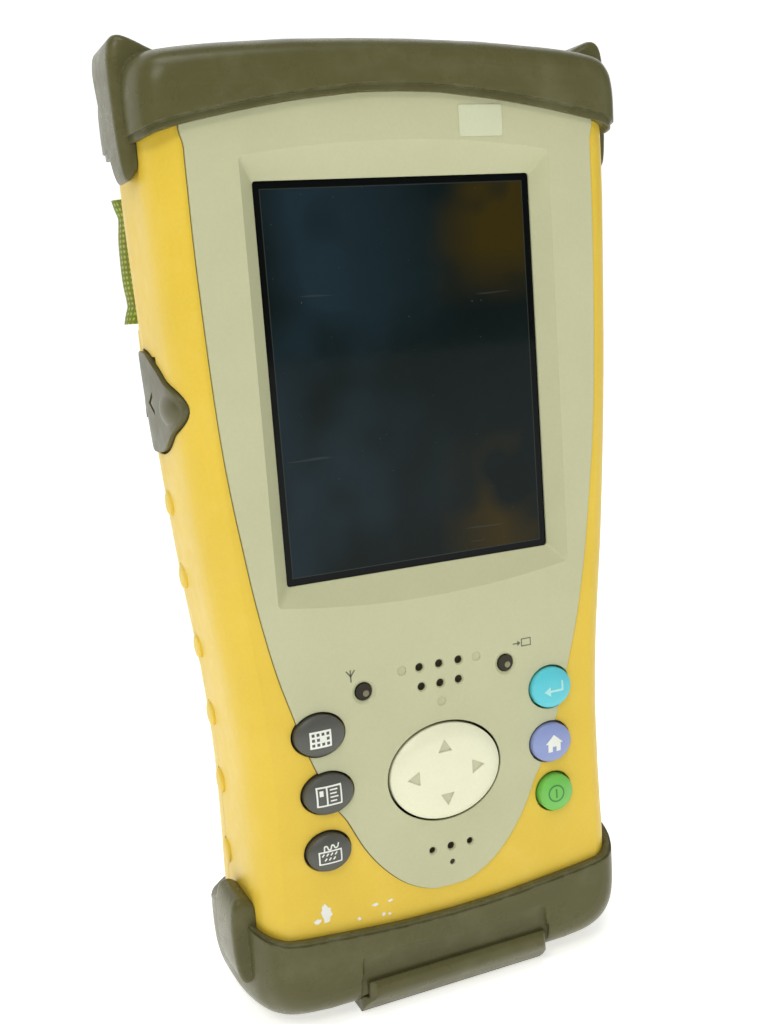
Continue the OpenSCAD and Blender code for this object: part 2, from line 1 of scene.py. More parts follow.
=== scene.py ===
"""Looks for the handheld data collector. Meshes are built in millimetres and scaled to metres when finished."""
import math
import random

import bmesh
import bpy
from mathutils import Matrix, Vector


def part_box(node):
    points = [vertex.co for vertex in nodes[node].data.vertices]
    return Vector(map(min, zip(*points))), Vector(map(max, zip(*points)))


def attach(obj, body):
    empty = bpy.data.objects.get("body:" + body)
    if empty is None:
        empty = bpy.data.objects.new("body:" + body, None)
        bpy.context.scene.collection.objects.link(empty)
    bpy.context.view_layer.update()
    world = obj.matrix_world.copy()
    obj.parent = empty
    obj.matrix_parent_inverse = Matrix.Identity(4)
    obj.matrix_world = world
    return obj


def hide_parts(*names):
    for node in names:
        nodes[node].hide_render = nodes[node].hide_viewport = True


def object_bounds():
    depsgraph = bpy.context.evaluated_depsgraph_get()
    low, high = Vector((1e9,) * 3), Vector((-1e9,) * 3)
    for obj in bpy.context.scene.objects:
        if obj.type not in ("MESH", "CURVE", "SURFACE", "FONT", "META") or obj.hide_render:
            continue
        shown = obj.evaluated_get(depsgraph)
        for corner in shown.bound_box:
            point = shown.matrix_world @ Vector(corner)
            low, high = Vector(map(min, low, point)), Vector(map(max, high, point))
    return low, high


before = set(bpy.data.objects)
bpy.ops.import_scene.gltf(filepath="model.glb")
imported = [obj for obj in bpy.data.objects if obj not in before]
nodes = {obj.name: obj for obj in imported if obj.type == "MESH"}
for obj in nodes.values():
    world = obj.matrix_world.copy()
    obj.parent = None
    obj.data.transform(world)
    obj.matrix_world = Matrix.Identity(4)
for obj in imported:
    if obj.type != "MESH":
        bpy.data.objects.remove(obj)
CAD_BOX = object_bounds()

# ---------------------------------------------------------------- camera
LENS_MM = 42.873046875
EYE = (-0.09908, -0.24039, 0.14482)
right, down, ahead = (0.91614, -0.39429, -0.07230), (-0.13263, -0.12794, -0.98287), (0.37829, 0.91004, -0.16951)
cam_data = bpy.data.cameras.new("camera")
cam = bpy.data.objects.new("camera", cam_data)
bpy.context.scene.collection.objects.link(cam)
cam_data.sensor_width = 36
cam_data.lens = LENS_MM
cam_data.clip_start = 0.01
cam.matrix_world = Matrix((
    (right[0], -down[0], -ahead[0], EYE[0]),
    (right[1], -down[1], -ahead[1], EYE[1]),
    (right[2], -down[2], -ahead[2], EYE[2]),
    (0, 0, 0, 1)))
bpy.context.scene.camera = cam

# ---------------------------------------------------------------- the case's form, as in the CAD
F, R, ZC, HZ = -23.0, 21.0, 97.0, 96.0
OUT = [(25, 2.6), (30.5, 3.3), (35, 5.2), (38.4, 8.4), (40.4, 12.5), (41.1, 18), (41.2, 24), (41, 32),
       (40.9, 42), (41, 54), (41.8, 68), (43, 80), (44.3, 92), (45.5, 106), (46.5, 120), (47.3, 134),
       (47.9, 150), (48.4, 164), (48.5, 174), (48.3, 180), (47.2, 185), (44, 188.2), (38, 189.9), (28, 191.3),
       (14, 192.7)]
# the top bumper has squarer shoulders than the case
OUT_T = OUT[:16] + [(48.1, 150), (48.8, 164), (49.2, 175), (49.4, 181), (49.2, 185.4), (48.1, 188.7), (45, 190.9),
                    (36, 192.2), (20, 193.3)]
# the bottom bumper has squarer lower corners
OUT_B = [(28, 2.3), (34, 3), (38, 4.8), (40.4, 7.8), (41.4, 12), (41.6, 18), (41.5, 24), (41.2, 32)] + OUT[8:]
FRONT_L = [(F, 6.2), (F + .5, 4.7), (F + 1.7, 3), (F + 3.7, 1.5), (F + 6.5, .5), (-12, .1), (-.25, 0)]
REAR_L = [(.25, .1), (5, .7), (9, 1.7), (13, 3.3), (R - 4.5, 5.9), (R - 2, 9), (R - .5, 12.4), (R, 15.2)]
CORE_L = [(F - .08, 6.1), (F + .42, 4.6), (F + 1.62, 2.9), (F + 3.6, 1.4), (F + 6.4, .4), (-12, 0), (0, -.08),
          (5, .6), (9, 1.6), (13.05, 3.2), (R - 4.4, 5.8), (R - 1.9, 8.9), (R - .4, 12.3), (R + .08, 15.1)]
TOP_L = [(F - 2, 5.2), (F - 1.75, 3.7), (F - 1, 2.3), (F + .4, 1.1), (F + 2.6, .2), (F + 6, -.5), (-11, -1),
         (-3, -1.2), (5, -1), (9.5, -.2), (14, 1.8), (R - 3.2, 4.6), (R - .4, 8), (R + 1.4, 12), (R + 2, 15.2)]
BUMP_L = [(F - 2, 7.2), (F - 1.5, 5), (F, 2.9), (F + 2.4, 1.2), (F + 5.6, -.3), (-12, -1.4), (-5, -2), (5, -2),
          (9.5, -.9), (14, 1.2), (R - 3, 4.4), (R - .2, 8), (R + 1.5, 12), (R + 2, 15.2)]
PANEL_O = [(0, 23.8), (4.4, 24.2), (9.8, 26.8), (14.6, 31.3), (18.3, 36.5), (21.5, 43), (24.2, 47.5), (28.5, 58.5),
           (31, 67), (33.5, 76), (35.9, 88), (37.6, 99.5), (39.6, 116), (40.7, 132.5), (41.5, 154), (41.7, 170),
           (41.7, 174), (41.6, 179.2), (31, 181.3), (21, 182.7), (11, 183.7), (0, 184.1)]
TOP_E = [(0, 183.3), (8, 183.1), (14, 182.5), (21, 181.7), (31, 180.1), (41, 178.1), (46, 176.9),
         (50, 175.7), (60, 175)]
BOT_E = [(0, 18.6), (12, 18.9), (25, 19.9), (34, 20.8), (39, 22), (42, 23.4), (43.4, 25), (46, 27), (60, 28)]
NUBS = [108.3, 93, 78.1, 63.3, 48.4, 32.7]
NUB_Y = -0.7
FIN_T = [(44, 177), (48.3, 171.3), (49.6, 169.8), (50.5, 169.7), (51.1, 171.6), (51.5, 176), (51.8, 182), (51.9, 188),
         (51.8, 191.4), (51.2, 193.9), (49.9, 195), (48.1, 194.8), (44.6, 193.2), (40.5, 190.8), (40, 186)]
FIN_B = [(40, 14), (42.4, 11), (43.9, 10.6), (44.9, 12.4), (45.5, 16), (45.7, 20.5), (45.6, 25), (44.9, 27.9),
         (43.6, 29), (41.4, 28.2), (39.5, 25)]
FIN_C = [(39.5, 11), (41.6, 8.4), (42.6, 8), (43.4, 9.4), (43.9, 12.4), (44, 15.8), (43.9, 19), (43.3, 21.1),
         (42.4, 21.8), (40.8, 21.2), (39.3, 18.8)]


def smooth(pts, k=4, closed=False):
    """Catmull-Rom through the points, k steps to a span."""
    n = len(pts)
    get = (lambda i: pts[i % n]) if closed else (lambda i: pts[min(max(i, 0), n - 1)])
    out = []
    for i in range(n if closed else n - 1):
        p0, p1, p2, p3 = (Vector(get(i + j)) for j in (-1, 0, 1, 2))
        if not closed and i == 0:
            p0 = p1 * 2 - p2
        if not closed and i == n - 2:
            p3 = p2 * 2 - p1
        for j in range(k):
            t = j / k
            out.append(tuple(0.5 * (2 * p1 + (p2 - p0) * t + (2 * p0 - 5 * p1 + 4 * p2 - p3) * t * t
                                    + (3 * p1 - p0 - 3 * p2 + p3) * t ** 3)))
    if not closed:
        out.append(tuple(pts[-1]))
    return out


def half_w(z):
    for a, b in zip(OUT, OUT[1:]):
        if z <= b[1]:
            return a[0] + (b[0] - a[0]) * (z - a[1]) / (b[1] - a[1])
    return OUT[-1][0]


def both(half):
    return list(half) + [(-x, z) for x, z in reversed(half) if abs(x) > 1e-6]


def closed_half(half, top):
    return [(x, half[0][1]) for x in (0, 6, 12, 18, 22)] + smooth(half, 4) + [(10, top - .1), (5, top), (0, top)]


OUT_S = closed_half(OUT, 193)
TOP_S = closed_half(OUT_T, 193.65)
BOT_S = closed_half(OUT_B, 193)


def outline(d, shape=None):
    return [(x * (1 - d / 49), ZC + (z - ZC) * (1 - d / HZ)) for x, z in both(shape or OUT_S)]


# ---------------------------------------------------------------- mesh helpers (millimetres)
def add(name, verts, faces):
    me = bpy.data.meshes.new(name)
    me.from_pydata([tuple(v) for v in verts], [], faces)
    bm = bmesh.new()
    bm.from_mesh(me)
    bmesh.ops.recalc_face_normals(bm, faces=bm.faces)
    bm.to_mesh(me)
    bm.free()
    o = bpy.data.objects.new(name, me)
    bpy.context.scene.collection.objects.link(o)
    return o


def loft(name, rings):
    """Skin over rings of equal length, closed at both ends."""
    n = len(rings[0])
    verts = [p for r in rings for p in r]
    faces = [(j * n + i, j * n + (i + 1) % n, (j + 1) * n + (i + 1) % n, (j + 1) * n + i)
             for j in range(len(rings) - 1) for i in range(n)]
    faces += [tuple(range(n))[::-1], tuple((len(rings) - 1) * n + i for i in range(n))]
    return add(name, verts, faces)


def body_loft(name, levels, off=0.0, k=4, shape=None):
    return loft(name, [[(x, y, z) for x, z in outline(d - off, shape)] for y, d in smooth(levels, k)])


# pts are (x, z) along y, (y, z) along x, (x, y) along z
PUT = {"y": lambda p, t: (p[0], t, p[1]), "x": lambda p, t: (t, p[0], p[1]), "z": lambda p, t: (p[0], p[1], t)}


def prism(name, pts, a, b, axis="y"):
    """2D outline pushed from a to b along the axis."""
    put = PUT[axis]
    return loft(name, [[put(p, a) for p in pts], [put(p, b) for p in pts]])


def turn(n):
    return [2 * math.pi * i / n for i in range(n)]


def oval(cx, cz, a, b, n=64):
    return [(cx + a * math.cos(t), cz + b * math.sin(t)) for t in turn(n)]


def cyl(name, axis, c, a, b, r, n=32, r2=None):
    put = PUT[axis]
    return loft(name, [[put(p, a) for p in oval(c[0], c[1], r, r, n)],
                       [put(p, b) for p in oval(c[0], c[1], r2 or r, r2 or r, n)]])


def box(name, x0, x1, y0, y1, z0, z1):
    return prism(name, [(x0, z0), (x1, z0), (x1, z1), (x0, z1)], y0, y1)


def join(objs, name=None):
    base = objs[0]
    bm = bmesh.new()
    for o in objs:
        bm.from_mesh(o.data)
    bm.to_mesh(base.data)
    bm.free()
    for o in objs[1:]:
        bpy.data.objects.remove(o)
    if name:
        base.name = name
    return base


def mirrored(o):
    me = o.data.copy()
    me.transform(Matrix.Scale(-1, 4, (1, 0, 0)))
    me.flip_normals()
    m = bpy.data.objects.new(o.name + "_m", me)
    bpy.context.scene.collection.objects.link(m)
    return m


def cut(o, cutter, op="DIFFERENCE", self_hit=False):
    if isinstance(cutter, list):
        cutter = join(cutter)
    m = o.modifiers.new("b", "BOOLEAN")
    m.object, m.operation, m.solver, m.use_self = cutter, op, "EXACT", self_hit
    ev = o.evaluated_get(bpy.context.evaluated_depsgraph_get())
    me = bpy.data.meshes.new_from_object(ev)
    o.modifiers.clear()
    o.data = me
    bpy.data.objects.remove(cutter)
    return o


def dress(o, material, sharp=30.0, weighted=True):
    """To metres, shaded smooth but for its sharp edges, with its material."""
    me = o.data
    me.transform(Matrix.Scale(0.001, 4))
    bm = bmesh.new()
    bm.from_mesh(me)
    bmesh.ops.remove_doubles(bm, verts=bm.verts, dist=2e-6)
    for e in bm.edges:
        if len(e.link_faces) == 2:
            e.smooth = e.calc_face_angle(0.0) < math.radians(sharp)
    for fc in bm.faces:
        fc.smooth = True
    bm.to_mesh(me)
    bm.free()
    me.materials.clear()
    me.materials.append(material)
    if weighted:
        w = o.modifiers.new("normals", "WEIGHTED_NORMAL")
        w.keep_sharp = True
        w.weight = 80
    return o


def place(o, body, *replaced, slot=None):
    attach(o, body)
    if replaced:
        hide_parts(*replaced)
    return o


# ---------------------------------------------------------------- materials
def material(name, base, rough=0.45, vary=0.05, grain=(6.0, 0.02), round_mm=0.25, spec=0.5, metal=0.0,
             worn=None, dust=None, streak=0.0, rough_vary=0.06):
    """A moulded or metal surface: slow colour drift, fine grain, soft edges, wear on edges and dust or scuffs."""
    m = bpy.data.materials.new(name)
    m.use_nodes = True
    nt = m.node_tree
    N, L = nt.nodes, nt.links
    b = N["Principled BSDF"]
    b.inputs["Metallic"].default_value = metal
    b.inputs["Specular IOR Level"].default_value = spec
    tc = N.new("ShaderNodeTexCoord")
    mp = N.new("ShaderNodeMapping")
    mp.inputs["Scale"].default_value = (1000, 1000, 1000)
    L.new(tc.outputs["Object"], mp.inputs["Vector"])

    def noise(scale, detail=3.0, rough_=0.55, stretch=None):
        n = N.new("ShaderNodeTexNoise")
        n.inputs["Scale"].default_value = scale
        n.inputs["Detail"].default_value = detail
        n.inputs["Roughness"].default_value = rough_
        if stretch:
            s = N.new("ShaderNodeMapping")
            s.inputs["Scale"].default_value = stretch
            L.new(mp.outputs[0], s.inputs["Vector"])
            L.new(s.outputs[0], n.inputs["Vector"])
        else:
            L.new(mp.outputs[0], n.inputs["Vector"])
        return n

    def remap(src, lo, hi, a, c):
        r = N.new("ShaderNodeMapRange")
        for i, v in zip((1, 2, 3, 4), (lo, hi, a, c)):
            r.inputs[i].default_value = v
        L.new(src, r.inputs[0])
        return r.outputs[0]

    def mix(fac, a, c):
        x = N.new("ShaderNodeMix")
        x.data_type = "RGBA"
        for sock, v in ((0, fac), (6, a), (7, c)):
            if hasattr(v, "is_output"):
                L.new(v, x.inputs[sock])
            elif sock:
                x.inputs[sock].default_value = (*v[:3], 1)
            else:
                x.inputs[sock].default_value = v
        return x.outputs[2]

    drift = remap(noise(0.045, 4).outputs[0], 0.35, 0.65, 0, 1)
    lo = tuple(c * (1 - vary) for c in base)
    hi = tuple(min(1, c * (1 + vary)) for c in base)
    col = mix(drift, lo, hi)
    speck = remap(noise(1.6, 2).outputs[0], 0.3, 0.7, 0, 1)
    col = mix(0.22, col, mix(speck, tuple(c * 0.93 for c in base), tuple(min(1, c * 1.06) for c in base)))
    if streak:
        st = remap(noise(0.5, 5, 0.6, (0.12, 1.0, 1.6)).outputs[0], 0.56, 0.72, 0, streak)
        col = mix(st, col, tuple(min(1, c * 1.7 + 0.02) for c in base))
    bev = N.new("ShaderNodeBevel")
    bev.samples = 4
    bev.inputs["Radius"].default_value = round_mm * 0.001
    if worn:
        geo = N.new("ShaderNodeNewGeometry")
        dt = N.new("ShaderNodeVectorMath")
        dt.operation = "DOT_PRODUCT"
        L.new(bev.outputs[0], dt.inputs[0])
        L.new(geo.outputs["Normal"], dt.inputs[1])
        edge = remap(dt.outputs["Value"], 0.985, 0.9, 0, 1)
        patch = remap(noise(0.35, 4).outputs[0], 0.48, 0.62, 0, worn[1])
        mul = N.new("ShaderNodeMath")
        mul.operation = "MULTIPLY"
        L.new(edge, mul.inputs[0])
        L.new(patch, mul.inputs[1])
        col = mix(mul.outputs[0], col, worn[0])
    if dust:
        dm = remap(noise(0.09, 6, 0.65).outputs[0], 0.5, 0.75, 0, dust[1])
        col = mix(dm, col, dust[0])
    L.new(col, b.inputs["Base Color"])
    sheen = remap(noise(0.3, 4).outputs[0], 0.3, 0.7, max(0.02, rough - rough_vary), rough + rough_vary)
    L.new(sheen, b.inputs["Roughness"])
    bump = N.new("ShaderNodeBump")
    bump.inputs["Strength"].default_value = 1.0
    bump.inputs["Distance"].default_value = grain[1] * 0.001
    L.new(noise(grain[0], 2).outputs[0], bump.inputs["Height"])
    L.new(bev.outputs[0], bump.inputs["Normal"])
    L.new(bump.outputs[0], b.inputs["Normal"])
    return m


YELLOW = material("yellow_case", (0.80, 0.56, 0.055), 0.40, 0.03, (5.5, 0.010), 0.35, spec=0.35,
                  worn=((0.86, 0.70, 0.30), 0.5), dust=((0.83, 0.64, 0.22), 0.14))
PANEL = material("panel_skin", (0.545, 0.55, 0.34), 0.44, 0.03, (7.0, 0.010), 0.12, spec=0.4)
# painted shade: dark colour for the shadow line round the panel skin
PANEL_GAP_SHADE = material("panel_gap_shade_line", (0.20, 0.165, 0.06), 0.6, 0.1, (7.0, 0.008), 0.02, spec=0.2)
RUBBER = material("bumper_rubber", (0.104, 0.098, 0.038), 0.30, 0.07, (3.0, 0.012), 0.6, spec=0.2,
                  worn=((0.25, 0.24, 0.14), 0.5), dust=((0.20, 0.195, 0.115), 0.30), streak=0.10)
RUBBER_FINE = material("cover_rubber", (0.104, 0.098, 0.045), 0.36, 0.06, (3.0, 0.01), 0.15, spec=0.3,
                       worn=((0.22, 0.21, 0.13), 0.4))
# painted shade: dark colour lining the sound holes
HOLE_SHADE = material("sound_hole_shade", (0.055, 0.05, 0.032), 0.6, 0.1, (6, 0.01), 0.05, spec=0.2)
SEAL = material("seal_rubber", (0.02, 0.018, 0.012), 0.6, 0.1)
KEY_DARK = material("key_dark", (0.085, 0.086, 0.074), 0.42, 0.05, (6, 0.006), 0.3)
KEY_CYAN = material("key_cyan", (0.11, 0.62, 0.72), 0.38, 0.04, (6, 0.005), 0.3)
KEY_BLUE = material("key_blue", (0.27, 0.33, 0.62), 0.38, 0.04, (6, 0.005), 0.3)
KEY_GREEN = material("key_green", (0.17, 0.56, 0.09), 0.38, 0.04, (6, 0.005), 0.3)
CREAM = material("pad_cream", (0.84, 0.84, 0.62), 0.36, 0.02, (7, 0.004), 0.35)
# painted shade: darker cream for the floors of the debossed arrows
CREAM_SHADE = material("pad_cream_shade", (0.60, 0.60, 0.42), 0.45, 0.03, (7, 0.004), 0.1)
STEEL = material("steel", (0.60, 0.60, 0.60), 0.32, 0.05, (9, 0.004), 0.15, metal=1.0)
DARK_STEEL = material("dark_steel", (0.16, 0.16, 0.15), 0.40, 0.08, (9, 0.004), 0.15, metal=1.0)
BRASS = material("brass", (0.72, 0.50, 0.22), 0.30, 0.06, (9, 0.004), 0.1, metal=1.0)
BOARD = material("circuit_board", (0.02, 0.12, 0.06), 0.40, 0.15, (4, 0.02), 0.1)
BLACK = material("black_plastic", (0.02, 0.02, 0.022), 0.45, 0.1, (6, 0.01), 0.15)
WHITE_INK = material("white_ink", (0.83, 0.85, 0.78), 0.55, 0.03, (9, 0.003), 0.02)
PALE_INK = material("pale_ink", (0.42, 0.80, 0.80), 0.5, 0.03, (9, 0.003), 0.02)
GREEN_INK = material("green_ink", (0.055, 0.25, 0.05), 0.5, 0.05, (9, 0.003), 0.02)
GREY_INK = material("grey_ink", (0.15, 0.155, 0.10), 0.55, 0.05, (9, 0.003), 0.02)
CHIP = material("paint_chip", (0.86, 0.86, 0.80), 0.6, 0.04, (5, 0.02), 0.05)
LABEL = material("label_film", (0.63, 0.655, 0.45), 0.50, 0.02, (8, 0.004), 0.1)
LENS = material("lamp_lens", (0.028, 0.024, 0.014), 0.22, 0.3, (3, 0.02), 0.1, spec=0.2)
# painted highlight: pale colour for the lamps' lit lower-right rim
LAMP_LIT = material("lamp_lit_patch", (0.22, 0.20, 0.11), 0.3, 0.2, (3, 0.02), 0.05)
BATTERY = material("battery_wrap", (0.03, 0.035, 0.05), 0.35, 0.08, (5, 0.01), 0.4)
CAST = material("cast_frame", (0.42, 0.42, 0.41), 0.5, 0.05, (4, 0.02), 0.2, metal=0.8)


def glass_material():
    """Dark glass over a dead display: a black border with a fine line, painted teal and amber reflections, specks and
    scratches.
    """
    m = material("touch_glass", (0.005, 0.010, 0.010), 0.06, 0.2, (0.5, 0.003), 0.1, spec=0.12, rough_vary=0.025)
    nt = m.node_tree
    N, L = nt.nodes, nt.links
    b = N["Principled BSDF"]
    lo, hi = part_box("touch_panel")
    cz = (lo[2] + hi[2]) / 2
    tc = N.new("ShaderNodeTexCoord")
    sep = N.new("ShaderNodeSeparateXYZ")
    L.new(tc.outputs["Object"], sep.inputs[0])

    def op(kind, a, c=None):
        n = N.new("ShaderNodeMath")
        n.operation = kind
        for i, v in enumerate((a, c)):
            if hasattr(v, "is_output"):
                L.new(v, n.inputs[i])
            elif v is not None:
                n.inputs[i].default_value = v
        return n.outputs[0]

    def ramp(src, a, c, to0=0.0, to1=1.0):
        n = N.new("ShaderNodeMapRange")
        for i, v in zip((1, 2, 3, 4), (a, c, to0, to1)):
            n.inputs[i].default_value = v
        L.new(src, n.inputs[0])
        return n.outputs[0]

    def noise(scale, detail, stretch=(1, 1, 1)):
        mp = N.new("ShaderNodeMapping")
        mp.inputs["Scale"].default_value = tuple(1000 * v for v in stretch)
        L.new(tc.outputs["Object"], mp.inputs[0])
        n = N.new("ShaderNodeTexNoise")
        n.inputs["Scale"].default_value = scale
        n.inputs["Detail"].default_value = detail
        L.new(mp.outputs[0], n.inputs["Vector"])
        return n.outputs[0]

    def mix(fac, a, c):
        n = N.new("ShaderNodeMix")
        n.data_type = "RGBA"
        L.new(fac, n.inputs[0])
        for i, v in ((6, a), (7, c)):
            if hasattr(v, "is_output"):
                L.new(v, n.inputs[i])
            else:
                n.inputs[i].default_value = (*v, 1)
        return n.outputs[2]

    x = sep.outputs["X"]
    z = op("SUBTRACT", sep.outputs["Z"], cz)
    ax, az = op("ABSOLUTE", x), op("ABSOLUTE", z)

    def inside(hx, hz):
        soft = 0.00006
        return op("MULTIPLY", ramp(ax, hx - soft, hx + soft, 1, 0), ramp(az, hz - soft, hz + soft, 1, 0))

    col = b.inputs["Base Color"].links[0].from_socket
    # painted reflection: a faint teal wash across the left of the glass
    teal_reflection = op("MULTIPLY", ramp(noise(0.032, 2), .45, .62), ramp(x, .012, -.016, 0, .8))
    col = mix(teal_reflection, col, (0.014, 0.030, 0.042))
    # painted reflection: amber towards the right-hand top and bottom corners
    reflection_corners = op("MULTIPLY", ramp(x, .004, .018, 0, .8), ramp(az, .012, .024, 0, 1))
    amber_reflection = op("MULTIPLY", ramp(noise(0.045, 2, (1, 1, .8)), .47, .56), reflection_corners)
    col = mix(amber_reflection, col, (0.045, 0.030, 0.003))
    col = mix(ramp(noise(1.5, 1), .76, .80, 0, .5), col, (0.10, 0.11, 0.11))
    col = mix(ramp(noise(.5, 2, (.07, 1, 1.3)), .71, .73, 0, .25), col, (0.07, 0.08, 0.08))
    border, within_line = inside(.0276, .0368), inside(.02745, .03665)
    col = mix(border, (0.003, 0.004, 0.004), col)
    col = mix(op("SUBTRACT", border, within_line), col, (0.035, 0.042, 0.038))
    L.new(col, b.inputs["Base Color"])
    return m


GLASS = glass_material()


# ---------------------------------------------------------------- sizes read from the frame
def centre(node):
    lo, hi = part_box(node)
    return [(a + c) * 500 for a, c in zip(lo, hi)]


KEYS = {}
for kname in ("key_grid", "key_window", "key_keyboard", "key_enter", "key_home", "key_power"):
    lo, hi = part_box(kname)
    c = centre(kname)
    KEYS[kname] = (c[0], c[2], (hi[0] - lo[0]) * 500 - 1, (hi[2] - lo[2]) * 500 - 1)
lo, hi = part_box("dpad_cap")
c = centre("dpad_cap")
PAD = (c[0], c[2], (hi[0] - lo[0]) * 500, (hi[2] - lo[2]) * 500)
P = F - 0.5
WIN = (29.0, 91.8, 168.2)
SCREWS = [(36, 172), (35.8, 104), (32, 28)]
BAR = (43.4, 15.3)


def bevel_ring(w, lo_c, lo_m, hi_c, hi_m, r):
    """Arched four-sided ring with rounded corners; every ring has the same count of points, so rings can be lofted."""
    e, n = w - r, 20
    pts = [(-e + 2 * e * i / n, lo_m + (lo_c - lo_m) * (1 - 2 * i / n) ** 2) for i in range(1, n)]
    for cx, cz, a0 in ((e, lo_c + r, -90), (e, hi_c - r, 0), (-e, hi_c - r, 90), (-e, lo_c + r, 180)):
        if a0 == 90:
            pts += [(e - 2 * e * i / n, hi_m + (hi_c - hi_m) * (1 - 2 * i / n) ** 2) for i in range(1, n)]
        for i in range(7):
            t = math.radians(a0 + 15 * i)
            pts.append((cx + r * math.cos(t), cz + r * math.sin(t)))
    return pts


def rounded(x0, x1, z0, z1, r):
    pts, n = [], 6
    for cx, cz, a0 in ((x1 - r, z0 + r, -90), (x1 - r, z1 - r, 0), (x0 + r, z1 - r, 90), (x0 + r, z0 + r, 180)):
        for i in range(n + 1):
            a = math.radians(a0 + 90 * i / n)
            pts.append((cx + r * math.cos(a), cz + r * math.sin(a)))
    return pts


BEV_O = bevel_ring(32.1, 88.5, 86, 172.5, 174.8, 1.0)
BEV_B = bevel_ring(33.4, 87.2, 84.7, 173.8, 176.1, .3)
BEV_G = bevel_ring(33.55, 87.05, 84.55, 173.95, 176.25, .3)
WIN_R = bevel_ring(WIN[0], WIN[1], WIN[1], WIN[2], WIN[2], .7)


KEY_GAP = .45


def key_cutters(g, pad_gap):
    cs = [prism("c", oval(x, z, a + g, b + g), F - 3, F + 4) for x, z, a, b in KEYS.values()]
    return cs + [prism("c", oval(PAD[0], PAD[1], PAD[2] + pad_gap, PAD[3] + pad_gap, 96), F - 3, F + 4)]


THROUGH = [(-3.6, 71.8, .85), (.8, 71.8, .85), (5.2, 71.8, .85), (-3.4, 67.7, .85), (.8, 67.7, .85), (5, 67.7, .85)]
MICS = [(-3.5, 32.3, .7), (.8, 32.3, .8), (5.2, 32.3, .7), (.8, 28.8, .62)]
BLIND = [(-7.6, 71.8), (9.2, 71.8), (.8, 63.9)]
LAMP_X, LAMP_Z = 16, 69.1


def vent_cutters():
    return [cyl("c", "y", p[:2], F - 3, F + 4, p[2], 20) for p in THROUGH + MICS[:3]]


# the side cover's outline, (y, z): round at the front, running to a point at the back
COVER = [(9 * math.cos(math.radians(i * 6)), 128.8 + 10 * math.sin(math.radians(i * 6)))
         for i in range(-14, 16)] + smooth(
    [(0, 138.8), (-4, 138), (-8, 136.2), (-11.5, 134.6), (-14.5, 132.8), (-17.6, 131.4), (-19.5, 129.8), (-20.2, 128),
     (-19.5, 126.1), (-17.5, 124.5), (-15, 123.3), (-12.2, 121.6), (-9, 120.1), (-4.6, 119), (0, 118.8)], 3)[1:-1]


def grown(pts, g):
    out = []
    for i, (y, z) in enumerate(pts):
        a, c = pts[i - 1], pts[(i + 1) % len(pts)]
        d = Vector((c[0] - a[0], c[1] - a[1])).normalized()
        out.append((y + g * d.y, z - g * d.x))
    return out


def cover_cutters():
    """The pocket that the side cover sits in, wrapped round the case's side."""
    pocket = prism("c", grown(COVER, .45), -60, -38, "x")
    cut(pocket, body_loft("c", CORE_L, -1.9, 2))
    return [pocket, box("c", -55, -43.9, 8, 11.4, 124.5, 133.5)]


def port_cutters():
    return [box("c", -21.8, 21.8, -40, -8.9, -5, 5.2), box("c", -21.8, 21.8, -9, -6.1, -5, 2.6),
            cyl("c", "x", (-9, 2.6), -21.8, 21.8, 2.9)]


# ---------------------------------------------------------------- front shell
front = body_loft("front_shell_skin", FRONT_L)
cut(front, join([prism("c", outline(3), -12, 1), prism("c", outline(7), F + 2.5, -11.5)]), self_hit=True)
for block in (box("c", -25.5, 25.5, F + 2.8, -0.3, 5, 9.6), box("c", -23, 23, F + 2.3, -9.5, 4.9, 15),
              box("c", -44, -41.6, F + 12, -0.3, 117, 141)):
    cut(front, block, "UNION")
cut(front, key_cutters(KEY_GAP, 3) + vent_cutters() + [prism("c", BEV_G, F - 1, F + 4)]
    + [cyl("c", "y", (s * LAMP_X, LAMP_Z), F - 1, F + 4, 1.9) for s in (-1, 1)])
cut(front, port_cutters(), self_hit=True)
cut(front, [box("c", -17, 17, -21, -10.6, -1, 12)])
cut(front, [box("c", -9.2, 9.2, -20.3, -11.3, 0, 20)])
for c in cover_cutters():
    cut(front, c)
cut(front, [box("c", -60, -40, -8.7, -3.7, 128.8, 137.6), cyl("c", "x", (-6.7, 122.9), -60, -40, 3.5)])
dress(front, YELLOW)
place(front, "case", "front_shell", slot="shell_yellow")

# grip nubs on the seam, part of the front shell
nubs = []
for z in NUBS:
    x = half_w(z)
    rings = []
    for dx, r in ((-1.7, 2.6), (0.1, 2.6), (0.35, 2.45), (0.52, 2.1), (0.62, 1.5), (0.66, 0.7)):
        rings.append([(x + dx, NUB_Y + r * math.cos(t), z + r * math.sin(t)) for t in turn(32)])
    nubs.append(loft("n", rings))
nubs += [mirrored(n) for n in nubs]
nub = join(nubs, "grip_nubs")
dress(nub, YELLOW, 40)
place(nub, "case", slot="shell_yellow")

